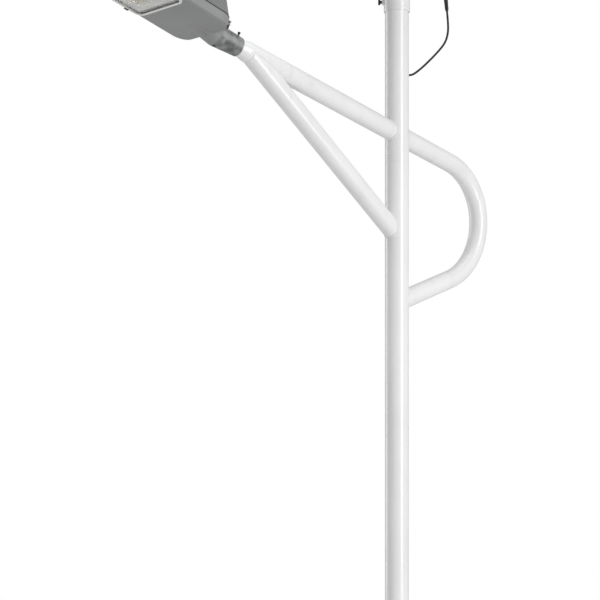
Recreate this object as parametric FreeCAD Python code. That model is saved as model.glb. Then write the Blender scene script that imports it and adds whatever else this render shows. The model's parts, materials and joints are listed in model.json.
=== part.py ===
import FreeCAD, Part
import math
import os

"""Solar street lamp: a round steel pole on a bolted base, a welded arm with a brace and a
D-shaped loop, a die-cast luminaire on the arm's spigot, and a solar panel on a turning and
tilting head. Millimetres, +Z up. The origin is the centre of the base plate's underside.
The arm points to -X, the loop to +X, and the door of the base faces -Y."""

V = FreeCAD.Vector
os.makedirs("parts", exist_ok=True)

# ---- driving dimensions ----------------------------------------------------------------
# pole: two standard round steel tubes joined by a cone
POLE_OD, POLE_WALL = 76.1, 3.0
BASE_OD, BASE_WALL = 139.7, 4.0
BASE_TOP, CONE_RISE, POLE_TOP = 950.0, 90.0, 4000.0

# base plate
PLATE, PLATE_T, PLATE_CORNER = 320.0, 16.0, 20.0
BOLT_SPACING, BOLT_HOLE = 230.0, 22.0
CABLE_OPENING = 80.0

# service door
DOOR_Z0, DOOR_Z1 = 430.0, 730.0
DOOR_W, DOOR_CORNER = 84.0, 25.0
DOOR_LAP = 12.0
SEAL_T, COVER_GAP, COVER_T = 1.5, 0.25, 3.0

# arm, brace and loop, all of one tube
ARM_OD, ARM_WALL = 60.3, 3.0
ARM_Z, ARM_TILT = 3472.0, 17.2
BRACE_Z, BRACE_TILT = 3148.0, 40.7
LOOP_DROP, LOOP_R = 536.0, 202.0
SWAGE_START, NECK_MOUTH = 603.0, 631.0
SPIGOT_OD, SPIGOT_LENGTH = 48.3, 96.0

# luminaire, in its own frame: a along it, w across it, h square to its underside
LAMP_TILT = 20.1
LAMP_REAR, LAMP_FRONT = 108.0, 668.0
LAMP_HALF_W = 118.0
REAR_CORNER, FRONT_CORNER = 42.0, 40.0
UNDERSIDE, RIM = -20.0, 8.0
SEAL_H = 3.2
COVER_TOP, COVER_EDGE_R = 72.0, 24.0
CAST_WALL = 4.0
NECK_MOUTH_R, NECK_ROOT_R, NECK_BORE = 28.5, 33.5, 48.5

# solar panel and its head
SLEEVE_BOTTOM, SLEEVE_BORE, SLEEVE_OD = 3860.0, 77.0, 83.0
PIVOT_Z, PANEL_TILT, TILT_TRAVEL = 4120.0, 28.0, 18.0
PANEL_W, PANEL_L, PANEL_D = 670.0, 780.0, 30.0

# panel cable
CABLE_D, CABLE_Z = 7.0, 3665.5

POLE_R = POLE_OD / 2
BASE_R = BASE_OD / 2
ARM_R = ARM_OD / 2
FIT = 0.05


# ---- helpers -----------------------------------------------------------------------------
def save(name, *shapes):
    """Write one sub-part; several shapes are a group of separate solids."""
    shape = shapes[0] if len(shapes) == 1 else Part.makeCompound(list(shapes))
    shape = shape.removeSplitter() if len(shapes) == 1 else shape
    shape.exportStep(f"parts/{name}.step")
    print(f"{name:22s} {len(shape.Solids)} solids  {shape.Volume / 1000:10.1f} cm3")


def box(x0, x1, y0, y1, z0, z1):
    return Part.makeBox(x1 - x0, y1 - y0, z1 - z0, V(x0, y0, z0))


def rod(start, end, r):
    """A solid cylinder between two points."""
    return Part.makeCylinder(r, (end - start).Length, start, end - start)


def tube(start, end, r, inner):
    return rod(start, end, r).cut(rod(start, end, inner))


def hexagon(start, end, across_flats):
    """A hexagonal prism between two points, for nuts and bolt heads."""
    height = (end - start).Length
    corners = []
    for k in range(7):
        turn = math.radians(60 * k)
        reach = across_flats / math.sqrt(3)
        corners.append(V(reach * math.cos(turn), reach * math.sin(turn), 0))
    prism = Part.Face(Part.makePolygon(corners)).extrude(V(0, 0, height))
    prism.Placement = FreeCAD.Placement(start, FreeCAD.Rotation(V(0, 0, 1), end - start))
    return prism


def outline(x0, x1, half, corner0, corner1, z):
    """A rectangle from x0 to x1, with rounded corners at each end, as a wire at height z."""
    edges = []
    last = None
    first = None
    rounds = (
        (x0 + corner0, -half + corner0, corner0, 270, 180),
        (x0 + corner0, half - corner0, corner0, 180, 90),
        (x1 - corner1, half - corner1, corner1, 90, 0),
        (x1 - corner1, -half + corner1, corner1, 0, -90),
    )
    for cx, cy, r, start, end in rounds:
        points = []
        for turn in (start, (start + end) / 2, end):
            a = math.radians(turn)
            points.append(V(cx + r * math.cos(a), cy + r * math.sin(a), z))
        if last is not None:
            edges.append(Part.LineSegment(last, points[0]).toShape())
        else:
            first = points[0]
        edges.append(Part.Arc(*points).toShape())
        last = points[2]
    edges.append(Part.LineSegment(last, first).toShape())
    return Part.Wire(edges)


def slab(x0, x1, half, corner0, corner1, z0, z1):
    wire = outline(x0, x1, half, corner0, corner1, z0)
    return Part.Face(wire).extrude(V(0, 0, z1 - z0))


def top_fillet(solid, z, r):
    """Round every edge of a solid that lies at height z."""
    edges = [e for e in solid.Edges if e.BoundBox.ZMin > z - 0.01 and e.BoundBox.ZMax < z + 0.01]
    return solid.makeFillet(r, edges)


def on_circle(r, degrees, z=0.0):
    """A point at a heading measured from -Y towards +X."""
    a = math.radians(degrees)
    return V(r * math.sin(a), -r * math.cos(a), z)


def pipe(wire, r):
    """A solid of round section swept along a wire of lines and tangent arcs."""
    start = wire.OrderedVertexes[0].Point
    edge = wire.OrderedEdges[0]
    along = edge.tangentAt(edge.FirstParameter)
    if (edge.valueAt(edge.FirstParameter) - start).Length > 1e-6:
        along = edge.tangentAt(edge.LastParameter).multiply(-1)
    section = Part.Wire(Part.makeCircle(r, start, along))
    return wire.makePipeShell([section], True, False)


# ---- base --------------------------------------------------------------------------------
def base_plate():
    plate = slab(-PLATE / 2, PLATE / 2, PLATE / 2, PLATE_CORNER, PLATE_CORNER, 0, PLATE_T)
    plate = plate.cut(rod(V(0, 0, -1), V(0, 0, PLATE_T + 1), CABLE_OPENING / 2))
    for x in (-1, 1):
        for y in (-1, 1):
            centre = V(x * BOLT_SPACING / 2, y * BOLT_SPACING / 2, -1)
            plate = plate.cut(rod(centre, centre + V(0, 0, PLATE_T + 2), BOLT_HOLE / 2))
    return plate


def base_gussets():
    """Four welded triangular stiffeners, one on each side of the base tube."""
    reach, height, thick, nose = 148.0, 118.0, 8.0, 14.0
    profile = [
        V(BASE_R - 3, 0, PLATE_T),
        V(reach, 0, PLATE_T),
        V(reach, 0, PLATE_T + nose),
        V(BASE_R + nose, 0, PLATE_T + height),
        V(BASE_R - 3, 0, PLATE_T + height),
    ]
    face = Part.Face(Part.makePolygon(profile + profile[:1]))
    blade = face.extrude(V(0, thick, 0))
    blade.translate(V(0, -thick / 2, 0))
    blade = blade.cut(rod(V(0, 0, 0), V(0, 0, 300), BASE_R))
    blades = []
    for turn in (0, 90, 180, 270):
        turned = blade.copy()
        turned.rotate(V(0, 0, 0), V(0, 0, 1), turn)
        blades.append(turned)
    return blades


def door_window(margin, corner):
    """The door opening, widened by a margin, as a block that reaches out along -Y."""
    half = DOOR_W / 2 + margin
    wire = outline(DOOR_Z0 - margin, DOOR_Z1 + margin, half, corner, corner, 0)
    block = Part.Face(wire).extrude(V(0, 0, 2 * BASE_R))
    # the outline's x becomes the height, and its z points to -Y
    turn = FreeCAD.Rotation(V(0, 0, 1), V(-1, 0, 0), V(0, -1, 0), "XYZ")
    block.Placement = FreeCAD.Placement(V(0, 0, 0), turn)
    return block


def base_tube():
    shell = tube(V(0, 0, PLATE_T), V(0, 0, BASE_TOP), BASE_R, BASE_R - BASE_WALL)
    return shell.cut(door_window(0, DOOR_CORNER))


def cone():
    top = POLE_R
    outer = Part.makeCone(BASE_R, top, CONE_RISE, V(0, 0, BASE_TOP))
    inner = Part.makeCone(BASE_R - BASE_WALL, top - POLE_WALL, CONE_RISE, V(0, 0, BASE_TOP))
    return outer.cut(inner)


def door_seal():
    inner = BASE_R
    ring = tube(V(0, 0, DOOR_Z0 - 60), V(0, 0, DOOR_Z1 + 60), inner + SEAL_T, inner)
    ring = ring.common(door_window(DOOR_LAP - 4, DOOR_CORNER + DOOR_LAP - 4))
    return ring.cut(door_window(1, DOOR_CORNER + 1))


COVER_R = BASE_R + SEAL_T + COVER_GAP
HINGE_HEADING, HINGE_R = 54.0, 79.0
PIN_R, KNUCKLE_R = 2.5, 5.0
HINGE_HEIGHTS = (DOOR_Z0 + 55, DOOR_Z1 - 55)
HINGE_AT = on_circle(HINGE_R, HINGE_HEADING)
LOCK_HEADING, LOCK_Z = -22.5, 580.0


def plate_prism(points, z0, z1):
    base = [V(p.x, p.y, z0) for p in points]
    return Part.Face(Part.makePolygon(base + base[:1])).extrude(V(0, 0, z1 - z0))


def door_knuckle(z0, z1):
    out = on_circle(1.6, HINGE_HEADING)
    points = [
        on_circle(COVER_R + 0.8, 41),
        on_circle(COVER_R + COVER_T + 1.2, 41),
        HINGE_AT + out,
        HINGE_AT - out,
    ]
    arm = plate_prism(points, z0, z1)
    barrel = rod(HINGE_AT + V(0, 0, z0), HINGE_AT + V(0, 0, z1), KNUCKLE_R)
    return arm.fuse(barrel)


def lock_line():
    """The lock's axis: a point on the cover's outside and the way it points outwards."""
    out = on_circle(1.0, LOCK_HEADING)
    return out * (COVER_R + COVER_T) + V(0, 0, LOCK_Z), out


def door_cover():
    ring = tube(V(0, 0, 300), V(0, 0, 860), COVER_R + COVER_T, COVER_R)
    skin = ring.common(door_window(DOOR_LAP, DOOR_CORNER + DOOR_LAP))
    for z in HINGE_HEIGHTS:
        skin = skin.fuse(door_knuckle(z - 6.6, z + 6.6))
    low = HINGE_AT + V(0, 0, 300)
    skin = skin.cut(rod(low, low + V(0, 0, 600), PIN_R + FIT))
    point, out = lock_line()
    return skin.cut(rod(point - out * 20, point + out * 20, 9.1))


def hinge_tabs():
    """Two pairs of knuckles welded to the base tube."""
    tabs = []
    for z in HINGE_HEIGHTS:
        for z0, z1 in ((z - 20, z - 7), (z + 7, z + 20)):
            out = on_circle(1.6, HINGE_HEADING + 10)
            side = [on_circle(BASE_R - 2, 63), on_circle(BASE_R - 2, 74)]
            arm = plate_prism([HINGE_AT - out, HINGE_AT + out, side[1], side[0]], z0, z1)
            arm = arm.fuse(rod(HINGE_AT + V(0, 0, z0), HINGE_AT + V(0, 0, z1), KNUCKLE_R))
            arm = arm.cut(rod(V(0, 0, 300), V(0, 0, 900), BASE_R))
            low = HINGE_AT + V(0, 0, z0 - 1)
            tabs.append(arm.cut(rod(low, low + V(0, 0, 20), PIN_R + FIT)))
    return tabs


def hinge_pins():
    pins = []
    for z in HINGE_HEIGHTS:
        shank = rod(HINGE_AT + V(0, 0, z - 23), HINGE_AT + V(0, 0, z + 20.2), PIN_R)
        head = rod(HINGE_AT + V(0, 0, z + 20.2), HINGE_AT + V(0, 0, z + 22.6), PIN_R + 1.8)
        pins.append(shank.fuse(head))
    return pins


def lock_body():
    point, out = lock_line()
    sleeve = rod(point - out * 14, point + out * 1.5, 9.0)
    bezel = rod(point + out * 1.0, point + out * 4.0, 12.0)
    body = sleeve.fuse(bezel)
    return body.cut(rod(point - out * 30, point + out * 20, 6.1))


def lock_cam():
    """The key cylinder and its cam, drawn unlocked: the cam hangs down inside the door."""
    point, out = lock_line()
    core = rod(point - out * 17.5, point + out * 3.4, 6.0)
    keyway = box(-1.0, 1.0, -3.5, 3.5, 0, 3.0)
    turn = FreeCAD.Rotation(V(1, 0, 0), V(0, 0, 1), out, "ZXY")
    keyway.Placement = FreeCAD.Placement(point + out * 1.2, turn)
    core = core.cut(keyway)
    side = V(0, 0, 1).cross(out)
    cam = box(-5.5, 5.5, -23, 5.5, 0, 3.0)
    pose = FreeCAD.Rotation(side, V(0, 0, 1), out, "ZXY")
    cam.Placement = FreeCAD.Placement(point - out * 19.5, pose)
    return core.fuse(cam)


PLATE_Y = 18.0
BRACKET_Z = (430.0, 700.0)
BATTERY = (-38, 38, -37, 17.5, 63.3, 383)


def equipment():
    """Plate inside the base tube that carries the battery and the charge controller."""
    back = PLATE_Y + 3
    plate = box(-50, 50, PLATE_Y, back, 60, 760)
    plate = plate.fuse(box(-42, 42, -40, PLATE_Y, 60, 63))
    blocks = []
    screws = []
    for z in BRACKET_Z:
        plate = plate.cut(rod(V(0, 10, z), V(0, 30, z), 4.2))
        block = box(-16, 16, back, 80, z - 12, z + 12)
        block = block.common(rod(V(0, 0, z - 20), V(0, 0, z + 20), BASE_R - BASE_WALL))
        blocks.append(block.cut(rod(V(0, 10, z), V(0, 40, z), 4.0 + FIT)))
        shank = rod(V(0, PLATE_Y, z), V(0, 39, z), 4.0)
        screws.append(shank.fuse(hexagon(V(0, PLATE_Y - 5.3, z), V(0, PLATE_Y, z), 13)))
    return plate, blocks, screws


def battery():
    x0, x1, y0, y1, z0, z1 = BATTERY
    case = box(x0, x1, y0, y1, z0, z1)
    case = case.makeFillet(4, [e for e in case.Edges if abs(e.Length - (z1 - z0)) < 0.1])
    for x in (-22, 22):
        case = case.fuse(rod(V(x, -10, z1 - 1), V(x, -10, z1 + 6), 9))
    return case


def battery_terminals():
    top = BATTERY[5] + 6
    posts = []
    for x in (-22, 22):
        post = rod(V(x, -10, top), V(x, -10, top + 12), 4)
        nut = hexagon(V(x, -10, top + 3), V(x, -10, top + 8), 13)
        posts.append(post.fuse(nut))
    return posts


def battery_straps():
    x0, x1, y0, y1 = BATTERY[:4]
    straps = []
    for z in (150, 300):
        outer = slab(x0 - 1.4, x1 + 1.4, 28.6, 5, 5, z - 9, z + 9)
        outer.translate(V(0, (y0 + y1) / 2, 0))
        inner = slab(x0 - 0.2, x1 + 0.2, 27.4, 4, 4, z - 10, z + 10)
        inner.translate(V(0, (y0 + y1) / 2, 0))
        band = outer.cut(inner)
        straps.append(band.cut(box(-60, 60, PLATE_Y, 40, z - 20, z + 20)))
    return straps


def controller():
    case = box(-35, 35, -17, 18, 480, 620)
    case = case.makeFillet(3, [e for e in case.Edges if e.BoundBox.YMax < -16.9])
    slots = [box(-28 + 8 * k, -24 + 8 * k, -20, -9, 470, 492) for k in range(7)]
    for slot in slots:
        case = case.cut(slot)
    return case


# ---- arm, brace and loop -----------------------------------------------------------------
def slope(degrees, side):
    """Unit vector that rises at this angle while going towards -X (side -1) or +X (side 1)."""
    a = math.radians(degrees)
    return V(side * math.cos(a), 0, math.sin(a))


ARM_DIR = slope(ARM_TILT, -1)
ARM_AT = V(0, 0, ARM_Z)


def arm_point(s):
    """The point on the arm's axis at a horizontal distance s from the pole's axis."""
    return ARM_AT + ARM_DIR * (s / math.cos(math.radians(ARM_TILT)))


def pole_core():
    return rod(V(0, 0, 2000), V(0, 0, 4300), POLE_R)


def arm_tube():
    swage = arm_point(SWAGE_START)
    mouth = arm_point(NECK_MOUTH)
    rise = (mouth - swage).Length
    tip = mouth + ARM_DIR * SPIGOT_LENGTH
    outer = rod(ARM_AT, swage, ARM_R)
    outer = outer.fuse(Part.makeCone(ARM_R, SPIGOT_OD / 2, rise, swage, ARM_DIR))
    outer = outer.fuse(rod(mouth, tip, SPIGOT_OD / 2))
    inner = rod(ARM_AT - ARM_DIR * 5, swage, ARM_R - ARM_WALL)
    small = SPIGOT_OD / 2 - ARM_WALL
    inner = inner.fuse(Part.makeCone(ARM_R - ARM_WALL, small, rise, swage, ARM_DIR))
    inner = inner.fuse(rod(mouth, tip + ARM_DIR * 5, small))
    return outer.cut(inner).cut(pole_core())


def brace_tube():
    start = V(0, 0, BRACE_Z)
    fall = math.tan(math.radians(BRACE_TILT)) - math.tan(math.radians(ARM_TILT))
    meet = (ARM_Z - BRACE_Z) / fall
    end = arm_point(meet)
    shell = tube(start, end, ARM_R, ARM_R - ARM_WALL)
    print(f"brace meets the arm {meet:.0f} mm from the pole's axis")
    return shell.cut(pole_core()).cut(rod(ARM_AT, arm_point(NECK_MOUTH), ARM_R))


def loop_path():
    """Two straight legs, the upper one in line with the arm, joined by one round arc."""
    tilt = math.radians(ARM_TILT)
    half = LOOP_DROP / 2
    reach = (half - LOOP_R * math.cos(tilt)) / math.tan(tilt)
    centre = V(reach - LOOP_R * math.sin(tilt), 0, ARM_Z - half)
    rise = LOOP_R * math.cos(tilt)
    upper = V(reach, 0, centre.z + rise)
    lower = V(reach, 0, centre.z - rise)
    edges = [
        Part.LineSegment(V(0, 0, ARM_Z), upper).toShape(),
        Part.Arc(upper, centre + V(LOOP_R, 0, 0), lower).toShape(),
        Part.LineSegment(lower, V(0, 0, ARM_Z - LOOP_DROP)).toShape(),
    ]
    print(f"loop reaches {centre.x + LOOP_R:.0f} mm from the pole's axis")
    return Part.Wire(edges)


def loop_tube():
    path = loop_path()
    return pipe(path, ARM_R).cut(pipe(path, ARM_R - ARM_WALL)).cut(pole_core())


def pole_tube():
    shell = tube(V(0, 0, BASE_TOP + CONE_RISE), V(0, 0, POLE_TOP), POLE_R, POLE_R - POLE_WALL)
    shell = shell.cut(rod(V(20, 0, CABLE_Z), V(60, 0, CABLE_Z), GROMMET_NECK_R + FIT))
    arm_hole = ARM_AT + ARM_DIR * POLE_R
    return shell.cut(rod(arm_hole - ARM_DIR * 20, arm_hole + ARM_DIR * 20, 12))


# ---- panel cable -------------------------------------------------------------------------
GROMMET_NECK_R, GROMMET_R = 8.0, 11.0
GROMMET_FACE = 43.0
# The cable's route in the plane y = 0, from the grommet up to the splice, as (x, z).
ROUTE = (
    (GROMMET_FACE, 3665.5),
    (62.0, 3665.5),
    (87.0, 3678.0),
    (124.5, 3705.0),
    (162.0, 3735.5),
    (195.5, 3764.5),
    (223.0, 3793.0),
    (236.5, 3825.0),
    (236.5, 3862.0),
    (231.0, 3898.5),
)
SPLICE_LENGTH = 56.0
LEAD_D = 5.5
# The two leads' routes from the splice up to the junction box's glands, as (x, y, z).
LEAD_ROUTES = (
    (
        (222.8, 4.4, 3953.9),
        (218.4, 7.9, 3983.4),
        (219.0, 11.0, 4035.0),
        (225.0, 13.5, 4098.0),
        (233.0, 15.5, 4165.0),
        (239.0, 16.5, 4230.0),
        (239.0, 16.0, 4282.0),
        (233.0, 16.0, 4320.8),
        (221.5, 16.0, 4342.5),
    ),
    (
        (222.8, -4.4, 3953.9),
        (218.4, -7.9, 3983.4),
        (218.0, -13.0, 4036.0),
        (221.0, -17.0, 4100.0),
        (228.0, -19.0, 4166.0),
        (235.5, -18.5, 4230.0),
        (238.0, -17.0, 4280.0),
        (233.0, -16.0, 4320.8),
        (221.5, -16.0, 4342.5),
    ),
)
def route_points(route):
    return [V(p[0], 0, p[1]) if len(p) == 2 else V(*p) for p in route]


def cord_wire(points, name):
    """Straight runs joined by tangent arcs, each as large as its two runs allow."""
    edges = []
    last = points[0]
    length = 0.0
    smallest = None
    for before, at, after in zip(points, points[1:], points[2:]):
        to_before = (before - at).normalize()
        to_after = (after - at).normalize()
        turn = math.pi - to_before.getAngle(to_after)
        shorter = min((before - at).Length, (after - at).Length)
        radius = 0.45 * shorter / math.tan(turn / 2)
        setback = 0.45 * shorter
        start = at + to_before * setback
        end = at + to_after * setback
        middle = (to_before + to_after).normalize()
        reach = radius / math.cos(turn / 2) - radius
        edges.append(Part.LineSegment(last, start).toShape())
        edges.append(Part.Arc(start, at + middle * reach, end).toShape())
        print(f"{name}: turn {math.degrees(turn):5.1f} degrees, radius {radius:7.1f} mm")
        smallest = radius if smallest is None else min(radius, smallest)
        length += (start - last).Length + radius * turn
        last = end
    edges.append(Part.LineSegment(last, points[-1]).toShape())
    length += (points[-1] - last).Length
    print(f"{name}: smallest radius {smallest:.1f} mm, length {length:.1f} mm")
    return Part.Wire(edges), length


def cord_tube(points, diameter, name):
    wire, length = cord_wire(points, name)
    solid = pipe(wire, diameter / 2)
    section = math.pi * diameter**2 / 4
    print(f"{name}: volume {solid.Volume:.0f}, section times length {section * length:.0f} mm3")
    return solid


def grommet():
    inside = POLE_R - POLE_WALL
    neck = rod(V(inside - 3, 0, CABLE_Z), V(POLE_R + 1, 0, CABLE_Z), GROMMET_NECK_R)
    flange = Part.makeCone(GROMMET_R, GROMMET_NECK_R, 4, V(GROMMET_FACE - 4, 0, CABLE_Z), V(1, 0, 0))
    flange = flange.fuse(rod(V(POLE_R - 3, 0, CABLE_Z), V(GROMMET_FACE - 4, 0, CABLE_Z), GROMMET_R))
    flange = flange.cut(pole_core())
    lip = rod(V(inside - 4, 0, CABLE_Z), V(inside, 0, CABLE_Z), GROMMET_R)
    lip = lip.common(rod(V(0, 0, 3000), V(0, 0, 4000), inside))
    body = neck.fuse(flange).fuse(lip)
    return body.cut(rod(V(0, 0, CABLE_Z), V(60, 0, CABLE_Z), CABLE_D / 2))


def splice():
    """Moulded Y that joins the two panel leads to the two-core cable."""
    low, under = route_points(ROUTE)[-1], route_points(ROUTE)[-2]
    along = (low - under).normalize()
    foot = Part.makeCone(5.0, 6.0, 8, low, along)
    foot = foot.fuse(rod(low + along * 8, low + along * 20, 6.0))
    body = foot
    for y in (-1, 1):
        bottom = low + along * 18
        top = low + along * SPLICE_LENGTH + V(0, y * 4.4, 0)
        body = body.fuse(Part.makeCone(6.0, 4.2, (top - bottom).Length, bottom, top - bottom))
    return body


# ---- panel head --------------------------------------------------------------------------
YOKE_Y, EAR_T = 48.0, 5.0
HEAD_GAP = 0.4
SLEEVE_BOLT_Z = (3893.0, 3965.0)
SLEEVE_BOLT_HEADING = 225.0
SLOT_R, LOCK_R = 62.0, 5.0


def sleeve():
    cap_top = POLE_TOP + 0.3 + 6
    outer = rod(V(0, 0, SLEEVE_BOTTOM), V(0, 0, cap_top), SLEEVE_OD / 2)
    body = outer.cut(rod(V(0, 0, SLEEVE_BOTTOM - 1), V(0, 0, POLE_TOP + 0.3), SLEEVE_BORE / 2))
    for z in SLEEVE_BOLT_Z:
        out = on_circle(1.0, SLEEVE_BOLT_HEADING)
        start = out * (SLEEVE_OD / 2 - 1.5) + V(0, 0, z)
        body = body.fuse(hexagon(start, start + out * 7.5, 17))
        body = body.cut(rod(V(0, 0, z) + out * 30, V(0, 0, z) + out * 60, 5.0 + FIT))
    return body


def sleeve_bolts():
    bolts = []
    out = on_circle(1.0, SLEEVE_BOLT_HEADING)
    for z in SLEEVE_BOLT_Z:
        at = V(0, 0, z)
        shank = rod(at + out * (POLE_R + 0.3), at + out * 56, 5.0)
        head = hexagon(at + out * 53, at + out * 59.5, 16)
        bolts.append(shank.fuse(head))
    return bolts


def arc_slot(y0, y1):
    """The lock bolts' slot: a ring sector about the pivot with round ends."""
    width = LOCK_R + 0.4
    ring = rod(V(0, y0, PIVOT_Z), V(0, y1, PIVOT_Z), SLOT_R + width)
    ring = ring.cut(rod(V(0, y0, PIVOT_Z), V(0, y1, PIVOT_Z), SLOT_R - width))
    ends = [math.radians(PANEL_TILT + side * (TILT_TRAVEL + 0.4)) for side in (-1, 1)]

    def below(r, a):
        return V(r * math.sin(a), y0, PIVOT_Z - r * math.cos(a))

    wedge = [V(0, y0, PIVOT_Z), below(200, ends[0]), below(200, ends[1])]
    sector = Part.Face(Part.makePolygon(wedge + wedge[:1])).extrude(V(0, y1 - y0, 0))
    slot = ring.common(sector)
    for a in ends:
        slot = slot.fuse(rod(below(SLOT_R, a), below(SLOT_R, a) + V(0, y1 - y0, 0), width))
    return slot


def tilt_yoke():
    """Two fixed ears on a foot plate, welded to the top of the sleeve."""
    low = POLE_TOP + 6.3
    foot = box(-50, 50, -YOKE_Y, YOKE_Y, low, low + 6)
    body = foot
    for side in (-1, 1):
        y0 = side * YOKE_Y - (EAR_T if side > 0 else 0)
        points = [V(-50, y0, low), V(50, y0, low), V(62, y0, PIVOT_Z - 62), V(62, y0, PIVOT_Z - 34),
                  V(22, y0, PIVOT_Z + 16), V(-22, y0, PIVOT_Z + 16), V(-50, y0, PIVOT_Z - 30)]
        ear = Part.Face(Part.makePolygon(points + points[:1])).extrude(V(0, EAR_T, 0))
        body = body.fuse(ear)
    body = body.cut(rod(V(0, -90, PIVOT_Z), V(0, 90, PIVOT_Z), 6.0 + FIT))
    return body.cut(arc_slot(-90, 90))


def tilted(shape):
    """Turn a shape that is drawn level into the panel's working tilt about the pivot."""
    turned = shape.copy()
    turned.rotate(V(0, 0, PIVOT_Z), V(0, 1, 0), -PANEL_TILT)
    return turned


HEAD_TOP = PIVOT_Z + 26.0
BEAM_H, RAIL_H = 40.0, 40.0
RAIL_X, RAIL_REACH, BOLT_Y = 200.0, 325.0, 320.0


def tilt_head():
    """Two ears between the yoke's, under a plate that carries the panel's beam."""
    inner = YOKE_Y - EAR_T - HEAD_GAP
    top = box(-60, 60, -inner, inner, HEAD_TOP - 6, HEAD_TOP)
    body = top
    for side in (-1, 1):
        y0 = side * inner - (EAR_T if side > 0 else 0)
        points = [V(-18, y0, PIVOT_Z - SLOT_R - 14), V(18, y0, PIVOT_Z - SLOT_R - 14),
                  V(40, y0, HEAD_TOP), V(-40, y0, HEAD_TOP)]
        ear = Part.Face(Part.makePolygon(points + points[:1])).extrude(V(0, EAR_T, 0))
        body = body.fuse(ear)
    body = body.cut(rod(V(0, -90, PIVOT_Z), V(0, 90, PIVOT_Z), 6.0 + FIT))
    lock = PIVOT_Z - SLOT_R
    body = body.cut(rod(V(0, -90, lock), V(0, 90, lock), LOCK_R + FIT))
    return body


def pivot_bolt():
    reach = YOKE_Y + 2.5
    bolt = rod(V(0, -reach, PIVOT_Z), V(0, reach + 12, PIVOT_Z), 6.0)
    bolt = bolt.fuse(hexagon(V(0, -reach - 7.5, PIVOT_Z), V(0, -reach, PIVOT_Z), 18))
    bolt = bolt.fuse(rod(V(0, -reach, PIVOT_Z), V(0, -YOKE_Y, PIVOT_Z), 12))
    bolt = bolt.fuse(rod(V(0, YOKE_Y, PIVOT_Z), V(0, reach, PIVOT_Z), 12))
    return bolt.fuse(hexagon(V(0, reach, PIVOT_Z), V(0, reach + 8, PIVOT_Z), 18))


def lock_bolts():
    """Two short bolts that clamp the head's ears to the yoke's slots."""
    z = PIVOT_Z - SLOT_R
    inner = YOKE_Y - EAR_T - HEAD_GAP - EAR_T
    bolts = []
    for side in (-1, 1):
        def at(y):
            return V(0, side * y, z)
        bolt = rod(at(inner - 9), at(YOKE_Y + 2.5), LOCK_R)
        bolt = bolt.fuse(rod(at(YOKE_Y + 0.2), at(YOKE_Y + 2.5), 10))
        bolt = bolt.fuse(hexagon(at(YOKE_Y + 2.5), at(YOKE_Y + 9), 16))
        bolt = bolt.fuse(hexagon(at(inner), at(inner - 7), 16))
        bolts.append(bolt)
    return bolts


def square_tube(x0, x1, y0, y1, z0, z1, wall, along):
    """A hollow rectangular tube; along is the axis that it is open along."""
    outer = box(x0, x1, y0, y1, z0, z1)
    if along == "x":
        return outer.cut(box(x0 - 1, x1 + 1, y0 + wall, y1 - wall, z0 + wall, z1 - wall))
    return outer.cut(box(x0 + wall, x1 - wall, y0 - 1, y1 + 1, z0 + wall, z1 - wall))


def cradle():
    beam = square_tube(-250, 250, -20, 20, HEAD_TOP, HEAD_TOP + BEAM_H, 3, "x")
    rails = []
    for x in (-RAIL_X, RAIL_X):
        low = HEAD_TOP + BEAM_H
        rail = square_tube(x - 20, x + 20, -RAIL_REACH, RAIL_REACH, low, low + RAIL_H, 3, "y")
        for y in (-BOLT_Y, 0, BOLT_Y):
            rail = rail.cut(rod(V(x, y, low - 5), V(x, y, low + RAIL_H + 5), 4.2))
        beam = beam.cut(rod(V(x, 0, HEAD_TOP - 5), V(x, 0, HEAD_TOP + BEAM_H + 5), 4.2))
        rails.append(rail)
    return beam, rails


def vertical_bolt(x, y, z0, z1):
    """An M8 bolt along Z: its head sits at z1 and its nut under z0."""
    shank = rod(V(x, y, z0 - 10), V(x, y, z1), 4.0)
    head = hexagon(V(x, y, z1), V(x, y, z1 + 5.3), 13)
    nut = hexagon(V(x, y, z0 - 7), V(x, y, z0), 13)
    return shank.fuse(head).fuse(nut)


def rail_bolts():
    return [vertical_bolt(x, 0, HEAD_TOP, PANEL_Z) for x in (-RAIL_X, RAIL_X)]


def frame_bolts():
    low = HEAD_TOP + BEAM_H
    spots = [(x, y) for x in (-RAIL_X, RAIL_X) for y in (-BOLT_Y, BOLT_Y)]
    return [vertical_bolt(x, y, low, PANEL_Z + FRAME_WALL) for x, y in spots]


PANEL_Z = HEAD_TOP + BEAM_H + RAIL_H
LAMINATE_T = 4.2
FRAME_FACE, FRAME_WALL, FRAME_FOOT = 11.0, 1.6, 25.0


def frame_bar(length):
    """One extruded bar of the panel's frame, along X: a wall, a lip over the glass, a ledge
    under it, and a foot at the bottom. The outside of the panel is at y = 0."""
    top = PANEL_D
    seat = top - FRAME_WALL - LAMINATE_T - 0.6
    profile = [
        V(0, 0, 0),
        V(0, 0, top),
        V(0, FRAME_FACE, top),
        V(0, FRAME_FACE, top - FRAME_WALL),
        V(0, FRAME_WALL, top - FRAME_WALL),
        V(0, FRAME_WALL, seat),
        V(0, FRAME_FACE, seat),
        V(0, FRAME_FACE, seat - FRAME_WALL),
        V(0, FRAME_WALL, seat - FRAME_WALL),
        V(0, FRAME_WALL, FRAME_WALL),
        V(0, FRAME_FOOT, FRAME_WALL),
        V(0, FRAME_FOOT, 0),
    ]
    bar = Part.Face(Part.makePolygon(profile + profile[:1])).extrude(V(length, 0, 0))
    corner = [V(-1, -1, -1), V(-1, 60, -1), V(60, 60, -1)]
    end = Part.Face(Part.makePolygon(corner + corner[:1])).extrude(V(0, 0, top + 2))
    far = end.mirror(V(length / 2, 0, 0), V(1, 0, 0))
    bar = bar.cut(end).cut(far)
    bar.translate(V(-length / 2, 0, PANEL_Z))
    return bar


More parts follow.
